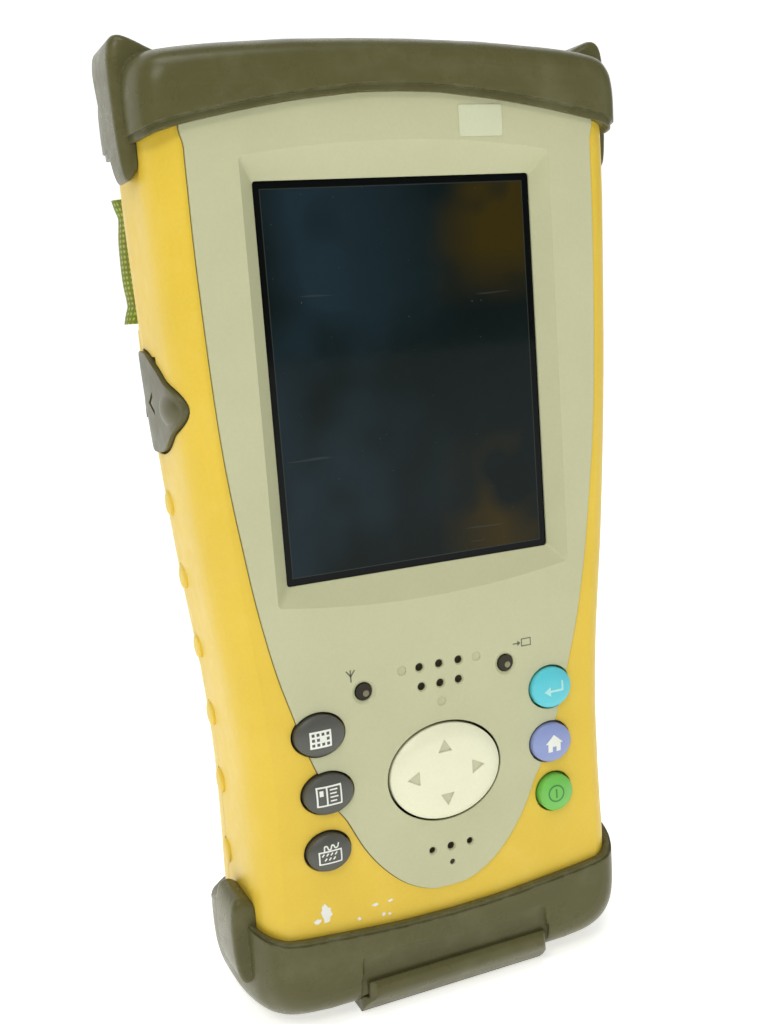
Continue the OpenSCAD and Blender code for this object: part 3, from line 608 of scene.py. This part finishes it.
# ---------------------------------------------------------------- rear shell
rear = body_loft("rear_shell_skin", REAR_L)
cut(rear, join([prism("c", outline(3.7), -1, 8.5), prism("c", outline(9.5), -1, 13),
                prism("c", outline(12), -1, R - 2.6)]), self_hit=True)
for s in (-1, 1):
    for z0, z1 in ((138, 143), (170, 175)):
        rings = [[(s * (BAR[0] - .35) + r * math.cos(t), BAR[1] + r * math.sin(t), z) for t in turn(40)]
                 for z, r in ((z0, 1.5), (z0 + .2, 1.8), (z0 + .6, 1.95), (z1 - .6, 1.95), (z1 - .2, 1.8), (z1, 1.5))]
        cut(rear, loft("c", rings), "UNION")
        cut(rear, box("c", min(s * 37, s * BAR[0]), max(s * 37, s * BAR[0]), 12.2, 15.8, z0 + .5, z1 - .5), "UNION")
cs = []
for s in (-1, 1):
    cs += [cyl("c", "x", (NUB_Y, z), s * (half_w(z) - 2.1), s * 60, 3.05) for z in NUBS]
    for p in SCREWS:
        cs += [cyl("c", "y", (s * p[0], p[1]), 14, 30, 3.2)]
    for z in (-8, 8):
        cs += [cyl("c", "y", (s * 14, 124 + z), 13, 30, 2.85)]
cut(rear, cs)
cut(rear, [cyl("c", "z", (s * BAR[0], BAR[1]), 143, 170, 4.4, 48) for s in (-1, 1)])
cut(rear, [box("c", min(s * BAR[0], s * 56), max(s * BAR[0], s * 56), 10.9, 19.7, 143, 170) for s in (-1, 1)])
cut(rear, [prism("c", rounded(-27.9, 27.9, 32.1, 111.9, 2.5), R - 1.5, 30)])
cut(rear, [prism("c", rounded(-25.5, 25.5, 34.5, 109.5, 2), 10, 30)])
for c in cover_cutters():
    cut(rear, c)
dress(rear, YELLOW)
place(rear, "case", "rear_shell", slot="shell_yellow")

# ---------------------------------------------------------------- front panel
panel = prism("front_panel_skin", both(smooth(PANEL_O, 5)), P, F)
cut(panel, prism("c", BEV_B, F - 0.1, F + 3), "UNION")
# the bevel runs from the outer line on the panel to the rounded window opening
hole = loft("c", [[(x + (x - u) * 0.1, P - 0.35, z + (z - w) * 0.1) for (x, z), (u, w) in zip(BEV_O, WIN_R)],
                  [(u, F + 2.6, w) for u, w in WIN_R]])
cut(panel, hole)
cut(panel, prism("c", WIN_R, F + 1, F + 5))
cut(panel, key_cutters(KEY_GAP, .55) + vent_cutters()
    + [cyl("c", "y", (s * LAMP_X, LAMP_Z), F - 3, F + 4, 1.9) for s in (-1, 1)])
blind = [loft("c", [[(px, y, pz) for px, pz in oval(*p, q, q, 24)]
                    for y, q in ((P - 1, 1), (P + .02, .98), (P + .26, .9), (P + .3, .5))])
         for p in BLIND]
blind += [cyl("c", "y", p[:2], P - .3, P + .3, p[2] + .45, 24, p[2] + .05) for p in THROUGH + MICS[:3]]
blind += [cyl("c", "y", MICS[3][:2], P - 1, F - .05, MICS[3][2], 20)]
blind += [cyl("c", "y", (s * LAMP_X, LAMP_Z), P - .1, P + .45, 2.75, 40, 2.0) for s in (-1, 1)]
cut(panel, blind)
dress(panel, PANEL, 17)
place(panel, "case", "front_panel", slot="panel_beige")

# a thin dark strip where the skin's edge meets the yellow: painted shade of the gap under the raised edge
outer = [(x + (.16 if x else 0), z + (-.16 if z < 60 else .16 if z > 181 else -.05)) for x, z in PANEL_O]
inner = [(max(0, x - .8), z + (.8 if z < 60 else -.8 if z > 181 else 0)) for x, z in PANEL_O]
edge = prism("panel_gap_shade_line", both(smooth(outer, 5)), F - .03, F + .01)
cut(edge, prism("c", both(smooth(inner, 5)), F - 1, F + 1))
cut(edge, [prism("c", oval(x, z, a + KEY_GAP, b + KEY_GAP), F - 1, F + 1) for x, z, a, b in KEYS.values()])
dress(edge, PANEL_GAP_SHADE, weighted=False)
place(edge, "case", slot="dark_plastic")

# dark cups inside the sound holes: painted shade for the depth of the holes
cups = []
for cx, cz, r in THROUGH + MICS[:3]:
    profile = ((F + 1.2, .3), (F + 1, r - .02), (F + .03, r - .02), (F + .05, r - .14), (F + .6, r - .3), (F + .7, .05))
    cups.append(loft("cup", [[(px, y, pz) for px, pz in oval(cx, cz, q, q, 20)] for y, q in profile]))
# a dark disc at the bottom of the blind mic hole: painted shade
cups.append(cyl("cup", "y", MICS[3][:2], F - .12, F - .06, .6, 20))
cups = join(cups, "sound_hole_shade_cups")
dress(cups, HOLE_SHADE, weighted=False)
place(cups, "case", slot="dark_plastic")

# a small pale patch off centre to the lower right behind each lamp window: painted highlight for the lamp's lit
# lower-right rim
lit_patches = join([loft("lit_spot", [[(s * LAMP_X + .45 + q * math.cos(t), y, LAMP_Z - .45 + q * math.sin(t)) for t in turn(16)]
                          for y, q in ((P + .25, .75), (P + .16, .6), (P + .12, .25))])
             for s in (-1, 1)], "lamp_lit_patches")
dress(lit_patches, LAMP_LIT, weighted=False)
place(lit_patches, "case", slot="lamp_lens")

lab = prism("blank_label_film", rounded(12.5, 21.9, 175, 180.9, .5), P - .16, P - .01)
dress(lab, LABEL)
place(lab, "case", "blank_label", slot="label_film")


# ---------------------------------------------------------------- bumpers
def region(name, edge, lift, top):
    """Everything on the far side of a bumper's edge line."""
    half = [(x, z + lift) for x, z in smooth(edge, 6)]
    line = [(-x, z) for x, z in reversed(half)] + half[1:]
    far = -30 if top else 240
    return prism(name, line + [(60.0, far), (-60.0, far)], -60, 60)


def fin(outline_pts, c, z0, z1, y0, d0, d1, side):
    """A corner fin with rounded front and back edges; its depth runs from d0 at its foot to d1 at its tip."""
    o = smooth(outline_pts, 4, closed=True)
    rings = []
    for t, i in ((0, 2.0), (.012, 1.2), (.035, .6), (.07, .2), (.12, 0), (.5, 0), (.84, 0), (.90, .2), (.95, .7),
                 (.98, 1.4), (1, 2.3)):
        rings.append([(side * (c[0] + (x - c[0]) * (1 - i / 6)), y0 + t * (d0 + (d1 - d0) * (z - z0) / (z1 - z0)),
                       c[1] + (z - c[1]) * (1 - i / 11)) for x, z in o])
    return loft("fin", rings)


top = body_loft("top_bumper_skin", TOP_L, shape=TOP_S)
cut(top, region("c", TOP_E, 1.4, True))
lip = body_loft("lip", [(y * .978, d) for y, d in TOP_L], -.45, shape=TOP_S)
cut(lip, region("c", TOP_E, 0, True))
cut(top, lip, "UNION")
for s in (-1, 1):
    cut(top, fin(FIN_T, (46.5, 182.5), 169.6, 195, -15.2, 9.3, 19.3, s), "UNION")
cut(top, body_loft("c", CORE_L, 0, 2))
cut(top, prism("c", both(smooth([(x * 1.005, z + .15) for x, z in PANEL_O], 5)), P - .12, F + .5))
dress(top, RUBBER, 50)
place(top, "case", "top_bumper", slot="bumper_rubber")

bot = body_loft("bottom_bumper_skin", BUMP_L, 0.9, shape=BOT_S)
cut(bot, region("c", BOT_E, -0.7, False))
lip = body_loft("lip", [(y * .986, d) for y, d in BUMP_L], .6, shape=BOT_S)
cut(lip, region("c", BOT_E, 0, False))
cut(bot, lip, "UNION")
cut(bot, prism("c", [(-11, 26.4), (-3, 23), (7, 19.6), (16, 17.6), (23.5, 17), (30, 17), (30, 60), (-11, 60)],
               -60, 60, "x"))
cut(bot, fin(FIN_C, (42, 15), 8, 21.8, -17.2, 14.5, 13, 1), "UNION")
cut(bot, fin(FIN_B, (43, 20), 10.6, 29, -17.2, 14.5, 13, -1), "UNION")
cut(bot, box("c", -80, 80, -80, 80, -30, 0))
cut(bot, body_loft("c", CORE_L, 0, 2))
cut(bot, port_cutters(), self_hit=True)
cut(bot, box("c", -22, 22, -40, -24.05, -5, 9.6))
cut(bot, loft("c", [[(x, -34.2 + r * math.cos(t), 9.6 + r * math.sin(t) * .98) for t in turn(96)]
                    for x, r in ((-21.6, 9.3), (-21.3, 10.1), (-20.7, 10.4), (20.7, 10.4), (21.3, 10.1), (21.6, 9.3))]))
dress(bot, RUBBER, 50)
place(bot, "case", "bottom_bumper", slot="bumper_rubber")

# port door with its finger lip
door = box("port_door_skin", -21.3, 21.3, -21.7, -9, .5, 4.7)
cut(door, cyl("c", "x", (-9, 2.6), -21.3, 21.3, 2.1), "UNION")
lip_side = smooth([(-21.6, .5), (-22.8, 1.6), (-24, 3), (-25.1, 4.4), (-25.8, 5.7), (-25.9, 6.9), (-25.6, 7.8),
                   (-24.9, 8.3), (-24.4, 8.1)], 4)
lip_above = (smooth([(-21.3, -20), (-21.3, -23), (-20.4, -24.4), (-18.4, -25.6), (-15, -26.3)], 4)
             + smooth([(16, -26.3), (19.6, -25.8), (21, -24.8), (21.4, -23.4), (21.3, -20)], 4))
lip = prism("c", [(-21, .5)] + lip_side + [(-24.4, 4.7), (-21, 4.7)], -21.5, 21.5, "x")
cut(lip, prism("c", lip_above, -2, 12, "z"), "INTERSECT")
cut(door, lip, "UNION")
cut(door, [cyl("c", "x", (-9, 2.6), -30, 30, 1.15), box("c", -18.5, 18.5, -21, -12.6, 3, 8)])
dress(door, RUBBER, 50)
place(door, "port_door", "port_door", slot="bumper_rubber")

# side port cover, wrapped over the side, with a nose to lift it by and a plain arrow
cover = prism("side_cover_skin", COVER, -60, -38, "x")
cut(cover, body_loft("c", CORE_L, .8, 3), "INTERSECT")
cut(cover, body_loft("c", CORE_L, -1.5, 3))
cut(cover, box("c", -46, -44.4, 7.4, 10, 125, 133), "UNION")
cut(cover, cyl("c", "z", (-45.2, 10), 125, 133, 1), "UNION")
rings = []
for v in (math.pi * (j + .5) / 18 for j in range(17)):
    x, a, b = -45.5 - 2.92 * math.cos(v), 6.32 * math.sin(v), 4.12 * math.sin(v)
    rings.append([(x, -13.5 + a * math.cos(t), 127.8 + b * math.sin(t)) for t in turn(36)])
nose = loft("c", rings)
cut(nose, body_loft("c", CORE_L, -1.5, 3))
cut(cover, nose, "UNION")
chevron = [(-1, 128.6), (-5.2, 130.9), (-5.2, 129.9), (-2.9, 128.6), (-5.2, 127.3), (-5.2, 126.3)]
cut(cover, prism("c", chevron, -51, -47.25, "x"))
dress(cover, RUBBER_FINE, 50)
place(cover, "side_port_cover", "side_port_cover", slot="bumper_rubber")


# ---------------------------------------------------------------- keys
def dome_y(u, v):
    """Depth of a cap's top at u, v in -1 to 1 across it."""
    return -25.3 + 1.05 * min(1.0, math.hypot(u, v)) ** 3.2


def key_cap(name, mat, slot):
    x, z, a, b = KEYS[name]
    rings = []
    for k in (0.06, .2, .35, .5, .62, .72, .8, .87, .92, .96, .985):
        rings.append([(px, dome_y(k, 0), pz) for px, pz in oval(x, z, a * k, b * k)])
    rings += [[(px, y, pz) for px, pz in oval(x, z, a, b)] for y in (-24.0, -23.4, -20.2)]
    rings += [[(px, y, pz) for px, pz in oval(x, z, a + 1, b + 1)] for y in (-20.2, -19.2)]
    o = loft(name + "_cap", rings)
    dress(o, mat, 40)
    place(o, name, name, slot=slot)


def ink(name, key, strokes, mat, slot, lift=0.035, shift=(0, 0)):
    """Flat printed shapes laid on a cap's dome, or on the panel where key is None. Strokes are outlines in mm."""
    x, z, a, b = KEYS[key] if key else (0, 0, 1, 1)
    bm = bmesh.new()
    for pts in strokes:
        vs = [bm.verts.new((p[0] + shift[0], 0, p[1] + shift[1])) for p in pts]
        bm.faces.new(vs)
    bmesh.ops.triangulate(bm, faces=bm.faces)
    for _ in range(4):
        bmesh.ops.subdivide_edges(bm, edges=[e for e in bm.edges if e.calc_length() > .35], cuts=1, use_grid_fill=True)
    for v in bm.verts:
        u, w = v.co.x / a, v.co.z / b
        y = dome_y(u, w) if key else P
        v.co = Vector((x + v.co.x, y - lift, z + v.co.z))
    bmesh.ops.recalc_face_normals(bm, faces=bm.faces)
    for fc in bm.faces:
        if fc.normal.y > 0:
            fc.normal_flip()
    me = bpy.data.meshes.new(name)
    bm.to_mesh(me)
    bm.free()
    o = bpy.data.objects.new(name, me)
    bpy.context.scene.collection.objects.link(o)
    dress(o, mat, 30, weighted=False)
    place(o, key or "case", slot=slot)


def line(p, q, w):
    d = Vector((q[0] - p[0], q[1] - p[1]))
    n = Vector((-d.y, d.x)).normalized() * w / 2
    e = d.normalized() * w * .35
    return [(p[0] + n.x - e.x, p[1] + n.y - e.y), (p[0] - n.x - e.x, p[1] - n.y - e.y),
            (q[0] - n.x + e.x, q[1] - n.y + e.y), (q[0] + n.x + e.x, q[1] + n.y + e.y)]


def path(pts, w, closed=False):
    pts = list(pts) + ([pts[0]] if closed else [])
    return [line(p, q, w) for p, q in zip(pts, pts[1:])]


def rect(x0, x1, z0, z1):
    return [(x0, z0), (x1, z0), (x1, z1), (x0, z1)]


def ring_ink(r, w):
    out, n = [], 28
    for i in range(n):
        t, u = (math.radians(360 * k / n) for k in (i, i + 1))
        near, far = r - w / 2, r + w / 2
        out.append([(near * math.cos(t), near * math.sin(t)), (far * math.cos(t), far * math.sin(t)),
                    (far * math.cos(u), far * math.sin(u)), (near * math.cos(u), near * math.sin(u))])
    return out


for kname, mat, slot in (("key_grid", KEY_DARK, "key_dark"), ("key_window", KEY_DARK, "key_dark"),
                         ("key_keyboard", KEY_DARK, "key_dark"), ("key_enter", KEY_CYAN, "key_cyan"),
                         ("key_home", KEY_BLUE, "key_blue"), ("key_power", KEY_GREEN, "key_green")):
    key_cap(kname, mat, slot)

# calendar grid: bars of a lattice that leave four by three squares, one square filled
GRID_W, GRID_H, GRID_BAR = 4.5, 3.5, .42
g = []
for i in range(5):
    x0 = -GRID_W / 2 + i * (GRID_W - GRID_BAR) / 4
    g.append(rect(x0, x0 + GRID_BAR, -GRID_H / 2, GRID_H / 2))
for i in range(4):
    z0 = -GRID_H / 2 + i * (GRID_H - GRID_BAR) / 3
    for j in range(4):
        x0 = -GRID_W / 2 + j * (GRID_W - GRID_BAR) / 4 + GRID_BAR
        g.append(rect(x0, x0 + (GRID_W - GRID_BAR) / 4 - GRID_BAR, z0, z0 + GRID_BAR))
x0 = -GRID_W / 2 + 2 * (GRID_W - GRID_BAR) / 4 + GRID_BAR
z0 = -GRID_H / 2 + (GRID_H - GRID_BAR) / 3 + GRID_BAR
g.append(rect(x0, x0 + (GRID_W - GRID_BAR) / 4 - GRID_BAR, z0, z0 + (GRID_H - GRID_BAR) / 3 - GRID_BAR))
ink("ink_grid", "key_grid", g, WHITE_INK, "label_film", shift=(-.25, -.35))
# a window with a side list
g = path([(-2.5, -1.9), (2.5, -1.9), (2.5, 1.9), (-2.5, 1.9)], .34, True)
g += [rect(-.65, -.3, -1.75, 1.75), rect(-2, -1.2, .15, 1.3)]
g += [rect(.15, x, z, z + .3) for x, z in ((1.75, 1.05), (1.55, .3), (1.85, -.45), (1.5, -1.25))]
ink("ink_window", "key_window", g, WHITE_INK, "label_film", shift=(-.35, .15))
# a keyboard with its cable
g = path([(-2.3, -1.6), (2.3, -1.6), (2.3, .9), (-2.3, .9)], .3, True)
g += [line((x, z), (x + .32, z + .34), .3)
      for x, z in ((-1.7, .1), (-.8, .1), (.1, .1), (1, .1), (-1.2, -.85), (-.3, -.85), (.6, -.85))]
g += path(smooth([(-1.2, 1.0), (-1.1, 1.9), (-.6, 1.95), (-.3, 1.3), (.15, 1.3), (.4, 1.95), (.8, 1.95), (1.1, 1.4),
                  (1.6, 1.5), (1.9, 2.15)], 3), .28)
ink("ink_keyboard", "key_keyboard", g, WHITE_INK, "label_film", shift=(-.25, -.05))
# return arrow
g = path([(2.0, 1.3), (2.0, -.5), (-1.2, -.5)], .5) + [[(-2.4, -.5), (-.9, .6), (-.9, -1.6)]]
ink("ink_enter", "key_enter", g, PALE_INK, "label_film", shift=(.1, 0))
# plain house
g = [[(-2.1, .1), (2.1, .1), (0, 2.0)], rect(-1.5, -.45, -1.7, .15), rect(.45, 1.5, -1.7, .15), rect(-.5, .5, -.6, .15)]
ink("ink_home", "key_home", g, WHITE_INK, "label_film")
# a ring round a bar
g = ring_ink(1.75, .34) + [rect(-.18, .18, -1.0, 1.0)]
ink("ink_power", "key_power", g, GREEN_INK, "key_green", shift=(-.55, .25))

# four-way pad
x, z, a, b = PAD
rings = []
for k in (.05, .3, .55, .7, .78, .83, .87, .905, .935, .96, .98, .993):
    y = -25.2 + (0 if k < .6 else 1.5 * ((k - .6) / .393) ** 2.5)
    rings.append([(px, y, pz) for px, pz in oval(x, z, a * k, b * k, 96)])
rings += [[(px, y, pz) for px, pz in oval(x, z, a, b, 96)] for y in (-23.7, -23, -21)]
rings += [[(px, y, pz) for px, pz in oval(x, z, 1.7, 1.7, 96)] for y in (-21, -19.8)]
pad = loft("four_way_pad", rings)
tri, low = [], []
for q in range(4):
    m = Matrix.Rotation(math.radians(90 * q), 2)
    d0, d1 = (4.5, 7.1) if q % 2 == 0 else (6.0, 8.7)
    pts = [m @ Vector(p) for p in ((-1.5, d0), (1.5, d0), (0, d1))]
    tri.append(prism("c", [(x - .5 + p.x, z + .2 + p.y) for p in pts], -26, -24.86))
    # a darker cream sheet on each arrow's floor: painted shade in the debossed arrows
    low.append(prism("c", [(x - .5 + p.x, z + .2 + p.y) for p in pts], -24.88, -24.84))
cut(pad, tri)
dress(pad, CREAM, 35)
place(pad, "dpad_cap", "dpad_cap", slot="pad_cream")
low = join(low, "pad_arrow_shaded_floors")
dress(low, CREAM_SHADE, weighted=False)
place(low, "dpad_cap", slot="pad_cream")

# ---------------------------------------------------------------- printed marks beside the lamps
MARK_Z, MARK_LIFT = 72.8, .02
# an aerial: a mast with two arms
ax, az = -18.6, MARK_Z
g = [line(p, q, .3) for p, q in (((ax, az - 1.15), (ax, az + 1.15)), ((ax, az - .05), (ax - .85, az + 1.05)),
                                 ((ax, az - .05), (ax + .85, az + 1.05)))]
ink("ink_antenna", None, g, GREY_INK, "label_film", MARK_LIFT)
# an arrow into a box
cx, cz = 20.0, MARK_Z
g = path([(cx - .1, cz - .75), (cx + 2, cz - .75), (cx + 2, cz + .75), (cx - .1, cz + .75)], .24, True)
g += path([(cx - 2.1, cz), (cx - .9, cz)], .26) + [[(cx - 1.1, cz - .6), (cx - .3, cz), (cx - 1.1, cz + .6)]]
ink("ink_charge", None, g, GREY_INK, "label_film", MARK_LIFT)

# paint chips low on the front, left of centre
rnd = random.Random(4)
chips = []
for cx, cz, rx, rz in ((-27.6, 24.8, 1.28, 1.77), (-29.6, 23.5, 0.74, 0.52), (-20.7, 21.7, 0.43, 0.42),
                       (-17.0, 23.8, 0.64, 0.35), (-13.6, 23.8, 0.64, 0.31), (-15.3, 21.2, 0.43, 0.38),
                       (-14.0, 21.0, 0.34, 0.27)):
    rays = []
    for t in turn(22):
        k = 1 + rnd.uniform(-.3, .25)
        rays.append((cx + rx * k * math.cos(t), cz + rz * k * math.sin(t)))
    n = len(rays)
    chips.append(add("chip", [(cx, F - .03, cz)] + [(px, F - .03, pz) for px, pz in rays],
                     [(0, 1 + (i + 1) % n, 1 + i) for i in range(n)]))
chips = join(chips, "paint_chips")
dress(chips, CHIP, weighted=False)
place(chips, "case", slot="shell_yellow")

# ---------------------------------------------------------------- glass
lo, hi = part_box("touch_panel")
glass = prism("touch_glass_pane", rounded(lo[0] * 1000, hi[0] * 1000, lo[2] * 1000, hi[2] * 1000, 2),
              lo[1] * 1000, hi[1] * 1000)
dress(glass, GLASS)
place(glass, "case", "touch_panel", slot="touch_glass")

# ---------------------------------------------------------------- battery door and strap
bd = prism("battery_door_skin", rounded(-27.5, 27.5, 32.5, 111.5, 2.2), R - 1.45, R + 1)
cut(bd, [cyl("c", "y", (s * 21, 105.6), 10, 30, 2.4) for s in (-1, 1)])
cut(bd, [cyl("c", "y", (s * 21, 105.6), R - .3, 30, 4.5, 48) for s in (-1, 1)])
cut(bd, [prism("c", rounded(-18, 18, 44 + i * 7, 46.4 + i * 7, 1.1), R + .4, R + 2) for i in range(6)])
dress(bd, YELLOW)
place(bd, "case", "battery_door", slot="shell_yellow")


def webbing_material():
    """A lime weave: two crossed waves for the threads, with a slow colour change over them."""
    m = bpy.data.materials.new("webbing")
    m.use_nodes = True
    nt = m.node_tree
    N, L = nt.nodes, nt.links
    b = N["Principled BSDF"]
    b.inputs["Roughness"].default_value = 0.78
    b.inputs["Sheen Weight"].default_value = 0.25
    tc = N.new("ShaderNodeTexCoord")
    mp = N.new("ShaderNodeMapping")
    mp.inputs["Scale"].default_value = (1000, 1000, 1000)
    L.new(tc.outputs["UV"], mp.inputs[0])
    waves = []
    for d, sc in (("X", .42), ("Y", .30)):
        w = N.new("ShaderNodeTexWave")
        w.bands_direction = d
        w.inputs["Scale"].default_value = sc
        w.inputs["Distortion"].default_value = .4
        w.inputs["Detail"].default_value = 1
        L.new(mp.outputs[0], w.inputs[0])
        waves.append(w)
    mul = N.new("ShaderNodeMath")
    mul.operation = "MULTIPLY"
    L.new(waves[0].outputs["Fac"], mul.inputs[0])
    L.new(waves[1].outputs["Fac"], mul.inputs[1])
    n = N.new("ShaderNodeTexNoise")
    n.inputs["Scale"].default_value = .25
    n.inputs["Detail"].default_value = 4
    L.new(mp.outputs[0], n.inputs[0])
    weave = N.new("ShaderNodeMix")
    weave.data_type = "RGBA"
    L.new(mul.outputs[0], weave.inputs[0])
    weave.inputs[6].default_value = (0.16, 0.20, 0.012, 1)
    weave.inputs[7].default_value = (0.50, 0.58, 0.06, 1)
    mottle = N.new("ShaderNodeMix")
    mottle.data_type = "RGBA"
    mottle.blend_type = "OVERLAY"
    mottle.inputs[0].default_value = .25
    L.new(weave.outputs[2], mottle.inputs[6])
    L.new(n.outputs["Color"], mottle.inputs[7])
    L.new(mottle.outputs[2], b.inputs["Base Color"])
    bp = N.new("ShaderNodeBump")
    bp.inputs["Distance"].default_value = .00035
    bp.inputs["Strength"].default_value = .9
    L.new(mul.outputs[0], bp.inputs["Height"])
    L.new(bp.outputs[0], b.inputs["Normal"])
    return m


WEB = webbing_material()


def ribbon(name, line_xy, z0, z1, thick):
    """A woven ribbon that follows a line seen from above, with rolled edges and a UV in metres along and across."""
    nz, edge = 14, 1.1
    pts = [Vector(p) for p in line_xy]
    run = [0.0]
    for p, q in zip(pts, pts[1:]):
        run.append(run[-1] + (q - p).length)
    nrm = []
    for i, p in enumerate(pts):
        d = (pts[min(i + 1, len(pts) - 1)] - pts[max(i - 1, 0)]).normalized()
        nrm.append(Vector((d.y, -d.x)))
    prof = []
    for j in range(nz + 1):
        s = j / nz
        z = z0 + (z1 - z0) * s
        e = min(z - z0, z1 - z)
        prof.append((z, thick / 2 * min(1.0, .45 + .55 * math.sqrt(min(1, e / edge)))))
    loop = [(z, t) for z, t in prof] + [(z, -t) for z, t in reversed(prof)]
    verts, faces, uvs = [], [], []
    n = len(loop)
    for p, nn, r in zip(pts, nrm, run):
        for z, t in loop:
            s = (2 * z - z0 - z1) / (z1 - z0)
            push = math.copysign((2.3 * abs(s) ** 3 - .7) * min(1, max(0, (abs(p.x) - 41.5) / 3)), p.x)
            verts.append((p.x + nn.x * t + push, p.y + nn.y * t, z))
            uvs.append((r * .001, z * .001))
    for i in range(len(pts) - 1):
        for j in range(n):
            faces.append((i * n + j, i * n + (j + 1) % n, (i + 1) * n + (j + 1) % n, (i + 1) * n + j))
    faces += [tuple(range(n))[::-1], tuple((len(pts) - 1) * n + j for j in range(n))]
    me = bpy.data.meshes.new(name)
    me.from_pydata(verts, [], faces)
    uv = me.uv_layers.new(name="run")
    for lp in me.loops:
        uv.data[lp.index].uv = uvs[lp.vertex_index]
    o = bpy.data.objects.new(name, me)
    bpy.context.scene.collection.objects.link(o)
    return o, run[-1]


# the strap goes round each bar and back on itself, then across the back as one arc
STRAP_THICK, STRAP_R = 1.5, 2.35
arc = [(41.7, 19.9), (38.4, 22.5), (34, 25.3), (28.5, 27.6), (21.5, 29.6), (12, 31), (0, 31.4)]
turns = [math.radians(t) for t in range(100, -161, -15)]
right_loop = [(BAR[0] + STRAP_R * math.cos(t), BAR[1] + STRAP_R * math.sin(t)) for t in turns]
left_loop = [(-x, y) for x, y in reversed(right_loop)]
mid = smooth([(-x, y) for x, y in arc] + [(x, y) for x, y in reversed(arc[:-1])], 6)
strap, run_len = ribbon("hand_strap_web", left_loop + mid + right_loop, 144.0, 169.0, STRAP_THICK)
dress(strap, WEB, 60, weighted=False)
place(strap, "case", "hand_strap", slot="webbing")

# ---------------------------------------------------------------- CAD pieces that stay: their materials
KEEP = {
    "case_gasket": SEAL, "lcd_module": BLACK, "lcd_frame": STEEL, "port_hinge_pin": STEEL, "dpad_pivot": STEEL,
    "keypad_membrane": SEAL, "keypad_board": BOARD, "speaker": BLACK, "microphone": STEEL, "led_lenses": LENS,
    "inner_frame": CAST, "main_board": BOARD, "board_screws": STEEL, "radio_shield": STEEL, "backup_cell": STEEL,
    "card_slot": STEEL, "memory_card": BLACK, "antenna": BRASS, "serial_port": STEEL, "serial_jackscrews": STEEL,
    "usb_port": STEEL, "dc_jack": BLACK, "battery_pack": BATTERY, "battery_contacts": BRASS,
    "battery_screw_left": STEEL, "battery_screw_right": STEEL, "case_screws": DARK_STEEL, "bracket_inserts": BRASS,
    "strap_bars": STEEL}
for name, mat in KEEP.items():
    o = nodes[name]
    o.data.materials.clear()
    o.data.materials.append(mat)

# ---------------------------------------------------------------- stage and light
lowest = CAD_BOX[0][2]
floor_mat = bpy.data.materials.new("studio_floor")
floor_mat.use_nodes = True
fb = floor_mat.node_tree.nodes["Principled BSDF"]
fb.inputs["Base Color"].default_value = (0.93, 0.94, 0.93, 1)
fb.inputs["Roughness"].default_value = 0.9
fb.inputs["Specular IOR Level"].default_value = 0.1
fb.inputs["Emission Color"].default_value = (1, 1, 0.985, 1)
fb.inputs["Emission Strength"].default_value = 0.63
sweep = [math.radians(t) for t in range(0, 91, 6)]
prof = [(-3.0, lowest)] + [(0.9 + .9 * math.sin(t), lowest + .9 - .9 * math.cos(t)) for t in sweep] + [(1.8, 3.2)]
me = bpy.data.meshes.new("studio_floor")
me.from_pydata([(x, y, z) for y, z in prof for x in (-4, 4)], [],
               [(2 * i, 2 * i + 1, 2 * i + 3, 2 * i + 2) for i in range(len(prof) - 1)])
for poly in me.polygons:
    poly.use_smooth = True
floor = bpy.data.objects.new("studio_floor", me)
bpy.context.scene.collection.objects.link(floor)
me.materials.append(floor_mat)

world = bpy.data.worlds.new("studio")
world.use_nodes = True
world.node_tree.nodes["Background"].inputs[0].default_value = (1, 1, 0.99, 1)
world.node_tree.nodes["Background"].inputs[1].default_value = 0.17
bpy.context.scene.world = world


def lamp(name, loc, size, watts, col=(1, 1, 1)):
    """A soft rectangular lamp aimed at the object's middle."""
    ld = bpy.data.lights.new(name, "AREA")
    ld.shape = "RECTANGLE"
    ld.size, ld.size_y = size
    ld.energy = watts
    ld.color = col
    o = bpy.data.objects.new(name, ld)
    bpy.context.scene.collection.objects.link(o)
    o.location = loc
    o.rotation_euler = (Vector((0, 0, 0.1)) - Vector(loc)).to_track_quat("-Z", "Y").to_euler()


lamp("key_light", (-0.55, -0.75, 1.0), (0.5, 0.4), 5.2, (1, 0.99, 0.95))
lamp("top_light", (-0.1, -0.25, 1.15), (0.7, 0.4), 3.9, (1, 1, 0.98))
lamp("fill_light", (0.9, -0.8, 0.45), (0.6, 0.6), 0.7)
bpy.context.scene.view_settings.view_transform = "Standard"
